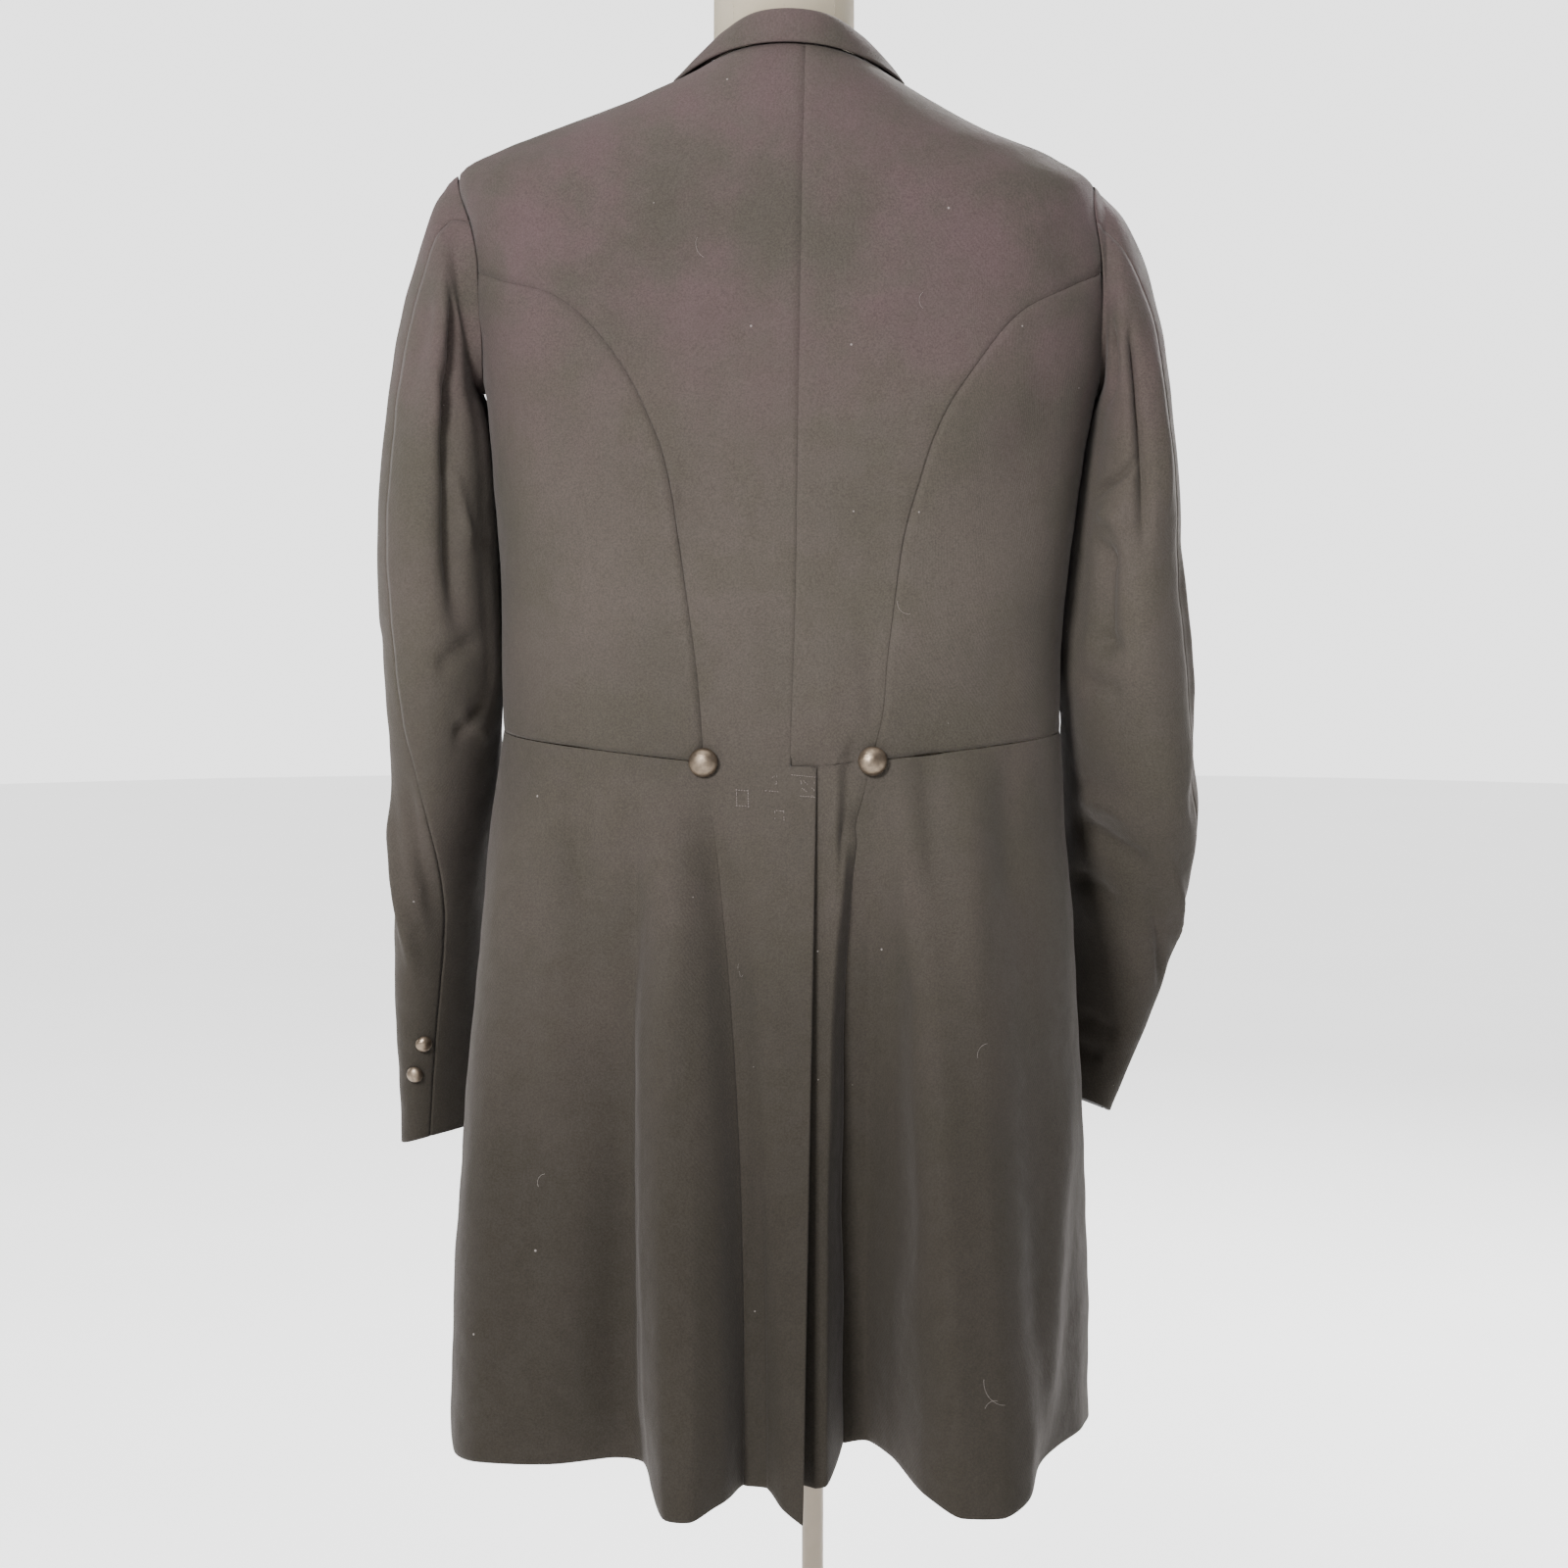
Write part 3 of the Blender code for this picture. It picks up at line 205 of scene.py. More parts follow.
# Sleeves from just off the armhole to the cuff: outermost x and z, innermost x and z, middle y, half
# depth fore and aft, and how far the back of the ring turns outward (degrees)
LEFT_SLEEVE = (
    (0.2240, 1.3800, 0.2060, 1.2335, 0.002, 0.0600, 0.0),
    (0.2345, 1.3640, 0.2040, 1.2270, 0.002, 0.0670, 0.0),
    (0.2465, 1.3260, 0.2010, 1.2150, 0.002, 0.0715, 0.0),
    (0.2580, 1.2820, 0.1982, 1.1950, 0.002, 0.0735, 0.0),
    (0.2670, 1.2280, 0.1963, 1.1650, 0.001, 0.0745, 2.0),
    (0.2725, 1.1650, 0.1950, 1.1300, 0.000, 0.0745, 4.0),
    (0.2740, 1.1000, 0.1940, 1.0850, -0.001, 0.0740, 5.0),
    (0.2710, 1.0350, 0.1935, 1.0350, -0.005, 0.0730, 6.0),
    (0.2660, 0.9700, 0.1970, 0.9800, -0.018, 0.0715, 9.0),
    (0.2660, 0.9000, 0.2035, 0.9130, -0.042, 0.0690, 13.0),
    (0.2660, 0.8300, 0.2060, 0.8440, -0.064, 0.0670, 17.0),
    (0.2650, 0.7650, 0.2060, 0.7800, -0.082, 0.0650, 20.0),
    (0.2640, 0.7070, 0.2060, 0.7220, -0.096, 0.0640, 22.0),
)
RIGHT_SLEEVE = (
    (0.2130, 1.3715, 0.2135, 1.2320, 0.002, 0.0600, 0.0),
    (0.2260, 1.3560, 0.2110, 1.2250, 0.002, 0.0670, 0.0),
    (0.2415, 1.3220, 0.2080, 1.2130, 0.002, 0.0715, 0.0),
    (0.2530, 1.2800, 0.2052, 1.1950, 0.002, 0.0735, 0.0),
    (0.2615, 1.2270, 0.2010, 1.1650, 0.001, 0.0745, 2.0),
    (0.2665, 1.1650, 0.1968, 1.1300, 0.000, 0.0745, 4.0),
    (0.2690, 1.1000, 0.1925, 1.0850, -0.002, 0.0745, 6.0),
    (0.2740, 1.0350, 0.1905, 1.0400, -0.008, 0.0745, 9.0),
    (0.2820, 0.9700, 0.1940, 0.9850, -0.022, 0.0730, 12.0),
    (0.2790, 0.9050, 0.1955, 0.9250, -0.048, 0.0700, 16.0),
    (0.2660, 0.8400, 0.1920, 0.8620, -0.078, 0.0670, 19.0),
    (0.2460, 0.7780, 0.1860, 0.8000, -0.104, 0.0650, 21.0),
    (0.2250, 0.7220, 0.1760, 0.7440, -0.124, 0.0640, 23.0),
)
# The two seams of a sleeve, in degrees round the ring from its outermost point backwards: share of the
# way down, hind seam, front seam
LEFT_SLEEVE_SEAMS = (
    (0.0, 52.0, 232.0),
    (0.3, 44.0, 236.0),
    (0.6, 66.0, 242.0),
    (0.8, 128.0, 252.0),
    (0.9, 118.0, 253.0),
    (1.0, 111.0, 254.0),
)
RIGHT_SLEEVE_SEAMS = (
    (0.0, 52.0, 232.0),
    (0.3, 42.0, 236.0),
    (0.6, 40.0, 238.0),
    (0.8, 30.0, 232.0),
    (1.0, 24.0, 228.0),
)

# Cuff buttons: share of the way down the sleeve, and degrees in front of the hind seam
CUFF_BUTTONS = (("upper", 0.899, 14.0), ("lower", 0.928, 23.0))

# Collar, a row per place round the neck: degrees from the centre back, height of the stand, how far the
# fold leans in, how far apart the two layers are at the fold, and how far down the body the fall
# reaches, in levels
COLLAR = (
    (-137.0, 0.0050, 0.0000, 0.0030, 0.50),
    (-115.0, 0.0075, 0.0010, 0.0034, 0.34),
    (-85.0, 0.0140, 0.0055, 0.0040, 0.17),
    (-50.0, 0.0195, 0.0095, 0.0044, 0.10),
    (0.0, 0.0205, 0.0030, 0.0046, 0.06),
    (50.0, 0.0195, 0.0095, 0.0044, 0.10),
    (85.0, 0.0140, 0.0055, 0.0040, 0.17),
    (115.0, 0.0075, 0.0010, 0.0034, 0.34),
    (137.0, 0.0050, 0.0000, 0.0030, 0.50),
)

# Lapel's outer edge from the break up to the tip, then in along the notch: degrees, level
LAPEL_EDGE = ((-91.0, 4.70), (-78.0, 5.25), (-60.0, 5.90), (-43.0, 6.60))
LAPEL_NOTCH = (-46.5, 8.05)
RIGHT_LAPEL_START = 0.30   # share of the roll line that lies under the left front

CAMERA_LENS = 84.5
FORM_WALL = 0.0018         # cloth between the form and the coat's outer face

# Number of cells
BACK_ACROSS = 46
BACK_RIDGE = 23            # of them along the shoulder seam
ARMHOLE_ROWS = 30
SEAM_ROWS = 78
TAIL_ROWS = 104
SIDE_BODY_ACROSS = 30
FOREPART_ACROSS = 54
FOREPART_ARMHOLE_ROWS = 36
NECK_ROWS = 18
ROLL_ROWS = 42
SKIRT_ACROSS = 190
SLEEVE_AROUND = {"top": 60, "under": 46}
SLEEVE_ROWS = 150
SLEEVE_LENGTH = 0.66       # from the head to the cuff
SLEEVE_RADIUS = 0.070
HEAD_ROWS = 12
SLEEVE_HEAD_DROP = 0.0045   # how much lower the sleeve's head lies than the armhole's top
COLLAR_AROUND = 150
COLLAR_SECTION = 26
LAPEL_CELLS = (22, 60)
FORM_AROUND = 96
BUTTON_AROUND = 40

# Creases of the cloth that faces back, on the coat seen from behind: x and z of the start, x and z of the
# end, how far the middle bows, half width, and height (below nothing for a trough)
BACK_CREASES = (
    (0.0720, 1.1730, 0.0470, 1.1610, 0.0015, 0.0060, -0.0012),
    (0.0780, 1.1560, 0.0520, 1.1480, 0.0010, 0.0080, 0.0010),
    (0.0500, 1.0700, 0.0500, 1.0050, 0.0030, 0.0090, -0.0008),
    (-0.0520, 1.0900, -0.0560, 1.0050, -0.0030, 0.0080, -0.0009),
    (0.0250, 1.1200, 0.0140, 1.0100, 0.0020, 0.0140, 0.0008),
    (-0.0330, 1.1050, -0.0280, 1.0060, 0.0020, 0.0120, 0.0009),
    (0.1700, 1.2700, 0.1350, 1.1900, 0.0060, 0.0150, -0.0012),
    (-0.1750, 1.2600, -0.1420, 1.1750, -0.0060, 0.0150, -0.0014),
    (0.1830, 1.1200, 0.1250, 1.0450, 0.0050, 0.0160, -0.0010),
    (-0.1780, 1.1100, -0.1220, 1.0400, -0.0050, 0.0160, -0.0012),
    (0.1700, 1.3600, 0.1950, 1.3000, 0.0040, 0.0120, -0.0014),
    (-0.1680, 1.3500, -0.1960, 1.2950, -0.0040, 0.0120, -0.0016),
    (0.1370, 1.0160, 0.1300, 0.8900, 0.0030, 0.0110, -0.0026),
    (0.1560, 1.0100, 0.1580, 0.7400, -0.0040, 0.0150, 0.0018),
    (0.1120, 1.0060, 0.1060, 0.8000, 0.0030, 0.0120, 0.0016),
    (0.0890, 0.9000, 0.0885, 0.5100, 0.0000, 0.0075, 0.0030),
    (0.0700, 0.9850, 0.0760, 0.5300, 0.0020, 0.0100, 0.0018),
    (0.1240, 0.8200, 0.1280, 0.5200, 0.0060, 0.0200, 0.0022),
    (0.1720, 0.9000, 0.1860, 0.5600, -0.0060, 0.0220, -0.0024),
    (-0.0960, 1.0180, -0.0990, 0.9050, 0.0020, 0.0095, -0.0024),
    (-0.1480, 1.0120, -0.1520, 0.8900, 0.0020, 0.0110, -0.0022),
    (-0.1200, 1.0100, -0.1230, 0.8200, -0.0030, 0.0130, 0.0020),
    (-0.1700, 0.9600, -0.1880, 0.7900, -0.0030, 0.0130, 0.0018),
    (-0.1860, 0.8300, -0.1560, 0.5200, -0.0060, 0.0110, 0.0034),
    (-0.0980, 0.8600, -0.1120, 0.5300, 0.0050, 0.0170, 0.0022),
    (-0.0750, 0.9200, -0.0800, 0.6400, 0.0030, 0.0110, -0.0020),
    (-0.0470, 1.0160, -0.0370, 0.9300, 0.0020, 0.0055, -0.0030),
    (-0.0390, 1.0000, -0.0310, 0.8700, 0.0010, 0.0060, 0.0022),
    (0.0190, 0.9000, 0.0050, 0.6000, 0.0020, 0.0110, 0.0010),
    (-0.0090, 0.8600, -0.0030, 0.5600, 0.0020, 0.0080, -0.0010),
)

# The same for the cloth that faces front
FRONT_CREASES = (
    (0.0900, 1.3200, 0.1500, 1.2500, 0.0040, 0.0140, -0.0014),
    (-0.0950, 1.3150, -0.1550, 1.2450, -0.0040, 0.0140, -0.0014),
    (0.0200, 1.2100, 0.1000, 1.2500, 0.0060, 0.0120, -0.0012),
    (0.0180, 1.1100, 0.0800, 1.1250, 0.0040, 0.0090, -0.0014),
    (-0.0250, 1.1150, -0.0900, 1.1300, -0.0040, 0.0100, -0.0012),
    (0.0200, 1.0600, 0.0950, 1.0450, 0.0030, 0.0100, 0.0011),
    (-0.0300, 1.0550, -0.1100, 1.0420, 0.0030, 0.0110, 0.0012),
    (0.1550, 1.1500, 0.1300, 1.0350, 0.0050, 0.0160, -0.0013),
    (-0.1550, 1.1450, -0.1280, 1.0320, -0.0050, 0.0160, -0.0013),
    (0.1200, 1.0050, 0.1350, 0.7000, 0.0060, 0.0170, 0.0026),
    (0.0850, 1.0000, 0.0900, 0.6000, 0.0050, 0.0220, -0.0028),
    (0.0480, 0.9800, 0.0400, 0.5600, 0.0040, 0.0190, 0.0022),
    (0.1650, 0.9700, 0.1850, 0.6200, 0.0050, 0.0190, -0.0026),
    (-0.1150, 1.0050, -0.1320, 0.6600, 0.0060, 0.0180, 0.0027),
    (-0.0800, 1.0000, -0.0880, 0.5800, -0.0050, 0.0210, -0.0026),
    (-0.1580, 0.9800, -0.1750, 0.6000, -0.0050, 0.0180, -0.0025),
    (-0.0450, 0.9700, -0.0400, 0.6200, 0.0040, 0.0170, 0.0018),
)

# Creases of the sleeves: degrees round from the outermost point backwards and share of the way down at
# the start and the end, half width, and height
LEFT_SLEEVE_CREASES = (
    (100.0, 0.020, 122.0, 0.280, 0.0120, -0.0066),
    (112.0, 0.160, 128.0, 0.540, 0.0125, -0.0064),
    (84.0, 0.060, 92.0, 0.300, 0.0120, 0.0022),
    (28.0, 0.660, 100.0, 0.840, 0.0090, 0.0032),
    (60.0, 0.650, 128.0, 0.800, 0.0110, -0.0026),
    (118.0, 0.300, 140.0, 0.430, 0.0060, 0.0034),
    (98.0, 0.180, 116.0, 0.360, 0.0090, -0.0030),
    (70.0, 0.130, 60.0, 0.330, 0.0140, -0.0016),
    (150.0, 0.520, 100.0, 0.560, 0.0070, -0.0022),
    (160.0, 0.590, 118.0, 0.630, 0.0060, -0.0024),
    (165.0, 0.640, 120.0, 0.600, 0.0050, 0.0020),
    (20.0, 0.520, 30.0, 0.640, 0.0120, -0.0014),
    (215.0, 0.520, 300.0, 0.560, 0.0070, -0.0030),
    (200.0, 0.580, 310.0, 0.600, 0.0065, -0.0034),
    (210.0, 0.630, 300.0, 0.640, 0.0070, -0.0028),
    (215.0, 0.555, 290.0, 0.580, 0.0060, 0.0022),
    (205.0, 0.300, 250.0, 0.200, 0.0100, -0.0028),
    (215.0, 0.380, 265.0, 0.300, 0.0100, -0.0024),
    (300.0, 0.150, 290.0, 0.400, 0.0150, -0.0016),
    (-20.0, 0.720, 40.0, 0.900, 0.0150, 0.0014),
    (250.0, 0.800, 320.0, 0.880, 0.0110, 0.0018),
)
RIGHT_SLEEVE_CREASES = (
    (108.0, 0.020, 124.0, 0.200, 0.0090, -0.0050),
    (84.0, 0.120, 92.0, 0.470, 0.0105, -0.0058),
    (128.0, 0.400, 132.0, 0.560, 0.0100, -0.0040),
    (58.0, 0.210, 60.0, 0.430, 0.0110, 0.0022),
    (150.0, 0.335, 88.0, 0.338, 0.0050, -0.0034),
    (140.0, 0.365, 108.0, 0.410, 0.0055, 0.0034),
    (146.0, 0.400, 120.0, 0.450, 0.0050, -0.0026),
    (150.0, 0.530, 108.0, 0.535, 0.0065, -0.0026),
    (160.0, 0.575, 110.0, 0.590, 0.0060, -0.0020),
    (176.0, 0.725, 92.0, 0.758, 0.0065, -0.0036),
    (170.0, 0.700, 110.0, 0.712, 0.0060, 0.0026),
    (172.0, 0.775, 118.0, 0.800, 0.0055, -0.0024),
    (112.0, 0.762, 50.0, 0.865, 0.0075, -0.0032),
    (90.0, 0.740, 30.0, 0.830, 0.0080, 0.0026),
    (150.0, 0.915, 96.0, 0.925, 0.0050, -0.0018),
    (152.0, 0.948, 108.0, 0.955, 0.0050, -0.0018),
    (30.0, 0.440, 24.0, 0.640, 0.0070, 0.0018),
    (10.0, 0.620, 60.0, 0.700, 0.0120, -0.0022),
    (200.0, 0.560, 300.0, 0.580, 0.0070, -0.0034),
    (195.0, 0.620, 310.0, 0.625, 0.0065, -0.0036),
    (205.0, 0.670, 300.0, 0.665, 0.0070, -0.0030),
    (210.0, 0.595, 290.0, 0.603, 0.0055, 0.0024),
    (205.0, 0.290, 255.0, 0.190, 0.0100, -0.0028),
    (300.0, 0.160, 292.0, 0.420, 0.0150, -0.0016),
    (-25.0, 0.700, 10.0, 0.860, 0.0130, 0.0016),
)

# Waves of the cloth's slight unevenness: direction in degrees round and up, length, phase, and height
UNEVENNESS = (
    (20.0, 60.0, 0.110, 0.4, 1.00),
    (75.0, 20.0, 0.083, 2.1, 0.80),
    (130.0, -35.0, 0.061, 4.0, 0.55),
    (-40.0, 12.0, 0.047, 1.3, 0.42),
    (10.0, -70.0, 0.035, 5.1, 0.30),
    (95.0, 48.0, 0.026, 3.3, 0.20),
    (160.0, 5.0, 0.019, 0.9, 0.12),
)

# Bits of pale thread that cling to the cloth: panel, x, z, length, and which way they start, in degrees
LINT = (
    ("skirt_right", -0.1270, 0.6170, 0.024, -80.0),
    ("skirt_right", -0.1360, 0.6010, 0.010, 20.0),
    ("sidebody_right", -0.0830, 1.0940, 0.014, -10.0),
    ("back_left", 0.0550, 1.3370, 0.015, -60.0),
    ("back_right", -0.0900, 1.2900, 0.012, 35.0),
    ("skirt_left", 0.1600, 0.7200, 0.011, 60.0),
    ("back_left", 0.0260, 0.8600, 0.009, 15.0),
    ("forepart_left", 0.1000, 1.1700, 0.013, 25.0),
    ("forepart_right", -0.1200, 1.2300, 0.011, -35.0),
    ("skirt_right", -0.1250, 0.8100, 0.012, 70.0),
)

# Sewn lines on the tail at the head of the vent, seen from behind: x and z of the start and the end
VENT_STITCHES = (
    (0.0128, 0.9905, -0.0200, 0.9872),
    (0.0128, 0.9905, 0.0122, 0.9840),
    (0.0122, 0.9840, 0.0045, 0.9890),
    (0.0045, 0.9890, 0.0050, 0.9832),
    (0.0050, 0.9832, 0.0118, 0.9786),
    (0.0118, 0.9786, 0.0040, 0.9780),
    (-0.0200, 0.9872, -0.0196, 0.9790),
    (-0.0196, 0.9790, -0.0105, 0.9868),
    (-0.0105, 0.9868, -0.0120, 0.9800),
    (-0.0120, 0.9800, -0.0196, 0.9745),
    (-0.0196, 0.9745, -0.0110, 0.9752),
    (0.0310, 0.9790, 0.0240, 0.9785),
    (0.0310, 0.9790, 0.0308, 0.9690),
    (0.0235, 0.9785, 0.0232, 0.9685),
    (0.0308, 0.9690, 0.0232, 0.9685),
    (0.0060, 0.9660, 0.0005, 0.9655),
    (0.0060, 0.9660, 0.0058, 0.9590),
    (0.0002, 0.9655, 0.0000, 0.9600),
)


# Each cloth piece's outer grid, and the step from its inner face out to it, by the piece's node name
SURFACES = {}


def new_material(name, colour, roughness, metallic=0.0):
    """A material with its shader, and the nodes, links and shader to build on."""
    material = bpy.data.materials.new(name)
    material.use_nodes = True
    material.diffuse_color = (*colour, 1)
    nodes, links = material.node_tree.nodes, material.node_tree.links
    shader = nodes["Principled BSDF"]
    shader.inputs["Base Color"].default_value = (*colour, 1)
    shader.inputs["Roughness"].default_value = roughness
    shader.inputs["Metallic"].default_value = metallic
    return nodes, links, shader


def node(nodes, kind, **values):
    """A node with its settings and its inputs set by name."""
    made = nodes.new(kind)
    for key, value in values.items():
        key = key.replace("_", " ")
        setting = key.replace(" ", "_").lower()
        if key in made.inputs:
            made.inputs[key].default_value = value
        else:
            setattr(made, setting, value)
    return made


def noise(nodes, links, vector, scale, detail=3.0, rough=0.55):
    """Noise read along a vector, and its value."""
    made = node(nodes, "ShaderNodeTexNoise", Scale=scale, Detail=detail, Roughness=rough)
    links.new(vector, made.inputs["Vector"])
    return made.outputs["Fac"]


def maths(nodes, links, kind, first, second=0.0, third=None):
    """One step of arithmetic on values or sockets."""
    made = nodes.new("ShaderNodeMath")
    made.operation = kind
    for socket, value in zip(made.inputs, (first, second, third)):
        if value is None:
            continue
        if isinstance(value, (int, float)):
            socket.default_value = value
        else:
            links.new(value, socket)
    return made.outputs[0]


def ramp(nodes, links, value, low, high, start=0.0, end=1.0):
    """A value eased from start to end while the given one goes from low to high."""
    made = nodes.new("ShaderNodeMapRange")
    made.interpolation_type = "SMOOTHSTEP"
    for key, number in (("From Min", low), ("From Max", high), ("To Min", start), ("To Max", end)):
        made.inputs[key].default_value = number
    links.new(value, made.inputs["Value"])
    return made.outputs["Result"]


def mix(nodes, links, share, first, second, kind="MIX"):
    """Two colours mixed by a share."""
    made = nodes.new("ShaderNodeMix")
    made.data_type = "RGBA"
    made.blend_type = kind
    for socket, value in ((made.inputs[0], share), (made.inputs[6], first), (made.inputs[7], second)):
        if isinstance(value, (int, float)):
            socket.default_value = value
        elif isinstance(value, (tuple, list)) or hasattr(value, "r"):
            socket.default_value = (*tuple(value)[:3], 1)
        else:
            links.new(value, socket)
    return made.outputs[2]


def bump(nodes, links, height, distance, strength=1.0, under=None):
    """A bump from a height in shares of a distance in metres."""
    made = node(nodes, "ShaderNodeBump", Strength=strength, Distance=distance)
    links.new(height, made.inputs["Height"])
    if under is not None:
        links.new(under, made.inputs["Normal"])
    return made.outputs["Normal"]


def new_group(name, inputs, outputs):
    """An empty shader node group with named values in and out."""
    tree = bpy.data.node_groups.new(name, "ShaderNodeTree")
    for label, kind, value in inputs:
        socket = tree.interface.new_socket(name=label, in_out="INPUT", socket_type=kind)
        if value is not None:
            socket.default_value = value
    for label, kind in outputs:
        tree.interface.new_socket(name=label, in_out="OUTPUT", socket_type=kind)
    return tree, tree.nodes.new("NodeGroupInput"), tree.nodes.new("NodeGroupOutput")


def group_node(nodes, links, name, vector, **values):
    """A placed node group, read along a vector."""
    made = nodes.new("ShaderNodeGroup")
    made.node_tree = bpy.data.node_groups[name]
    links.new(vector, made.inputs["Vector"])
    for key, value in values.items():
        made.inputs[key.replace("_", " ")].default_value = value
    return made.outputs


def make_groups():
    """The twill, plain weave, mottling and lint that several materials share."""
    value, place = "NodeSocketFloat", "NodeSocketVector"
    tree, start, end = new_group(
        "Twill weave", [("Vector", place, None), ("Threads per metre", value, 1500.0)], [("Height", value)]
    )
    nodes, links = tree.nodes, tree.links
    split = nodes.new("ShaderNodeSeparateXYZ")
    links.new(start.outputs["Vector"], split.inputs[0])
    loose = noise(nodes, links, start.outputs["Vector"], 260.0, 2.0)
    across = maths(nodes, links, "MULTIPLY", split.outputs[0], start.outputs["Threads per metre"])
    down = maths(nodes, links, "MULTIPLY", split.outputs[1], start.outputs["Threads per metre"])
    slant = maths(nodes, links, "ADD", across, down)
    slant = maths(nodes, links, "MULTIPLY_ADD", loose, 1.6, slant)
    ribs = maths(nodes, links, "SINE", maths(nodes, links, "MULTIPLY", slant, math.pi / 2))
    threads = maths(nodes, links, "SINE", maths(nodes, links, "MULTIPLY", across, math.pi * 2))
    both = maths(nodes, links, "MULTIPLY_ADD", ribs, 0.35, maths(nodes, links, "MULTIPLY", threads, 0.15))
    links.new(maths(nodes, links, "ADD", both, 0.5), end.inputs["Height"])

    tree, start, end = new_group(
        "Plain weave", [("Vector", place, None), ("Threads per metre", value, 1000.0)], [("Height", value)]
    )
    nodes, links = tree.nodes, tree.links
    split = nodes.new("ShaderNodeSeparateXYZ")
    links.new(start.outputs["Vector"], split.inputs[0])
    slub = noise(nodes, links, start.outputs["Vector"], 120.0, 3.0)
    waves = []
    for axis in (0, 1):
        count = maths(nodes, links, "MULTIPLY", split.outputs[axis], start.outputs["Threads per metre"])
        count = maths(nodes, links, "MULTIPLY_ADD", slub, 0.8, count)
        waves.append(maths(nodes, links, "SINE", maths(nodes, links, "MULTIPLY", count, math.pi * 2)))
    cross = maths(nodes, links, "MULTIPLY", waves[0], waves[1])
    height = maths(nodes, links, "MULTIPLY_ADD", cross, 0.35, 0.5)
    height = maths(nodes, links, "MULTIPLY_ADD", slub, 0.3, height)
    links.new(height, end.inputs["Height"])

    tree, start, end = new_group(
        "Mottling",
        [("Vector", place, None), ("Size", value, 0.05)],
        [("Cloud", value), ("Patch", value), ("Grain", value)],
    )
    nodes, links = tree.nodes, tree.links
    inverse = maths(nodes, links, "DIVIDE", 1.0, start.outputs["Size"])
    for label, times, detail in (("Cloud", 0.5, 3.0), ("Patch", 2.0, 4.0), ("Grain", 16.0, 5.0)):
        made = node(nodes, "ShaderNodeTexNoise", Detail=detail, Roughness=0.6)
        links.new(start.outputs["Vector"], made.inputs["Vector"])
        links.new(maths(nodes, links, "MULTIPLY", inverse, times), made.inputs["Scale"])
        links.new(ramp(nodes, links, made.outputs["Fac"], 0.32, 0.68), end.inputs[label])

    tree, start, end = new_group(
        "Lint", [("Vector", place, None), ("Spacing", value, 0.02)], [("Mask", value)]
    )
    nodes, links = tree.nodes, tree.links
    cells = node(nodes, "ShaderNodeTexVoronoi", Randomness=1.0)
    links.new(maths(nodes, links, "DIVIDE", 1.0, start.outputs["Spacing"]), cells.inputs["Scale"])
    links.new(start.outputs["Vector"], cells.inputs["Vector"])
    colour = nodes.new("ShaderNodeSeparateColor")
    links.new(cells.outputs["Color"], colour.inputs[0])
    chosen = maths(nodes, links, "GREATER_THAN", colour.outputs[0], 0.62)
    wide = maths(nodes, links, "MULTIPLY_ADD", colour.outputs[1], 0.030, 0.012)
    near = maths(nodes, links, "LESS_THAN", cells.outputs["Distance"], wide)
    links.new(maths(nodes, links, "MULTIPLY", chosen, near), end.inputs["Mask"])


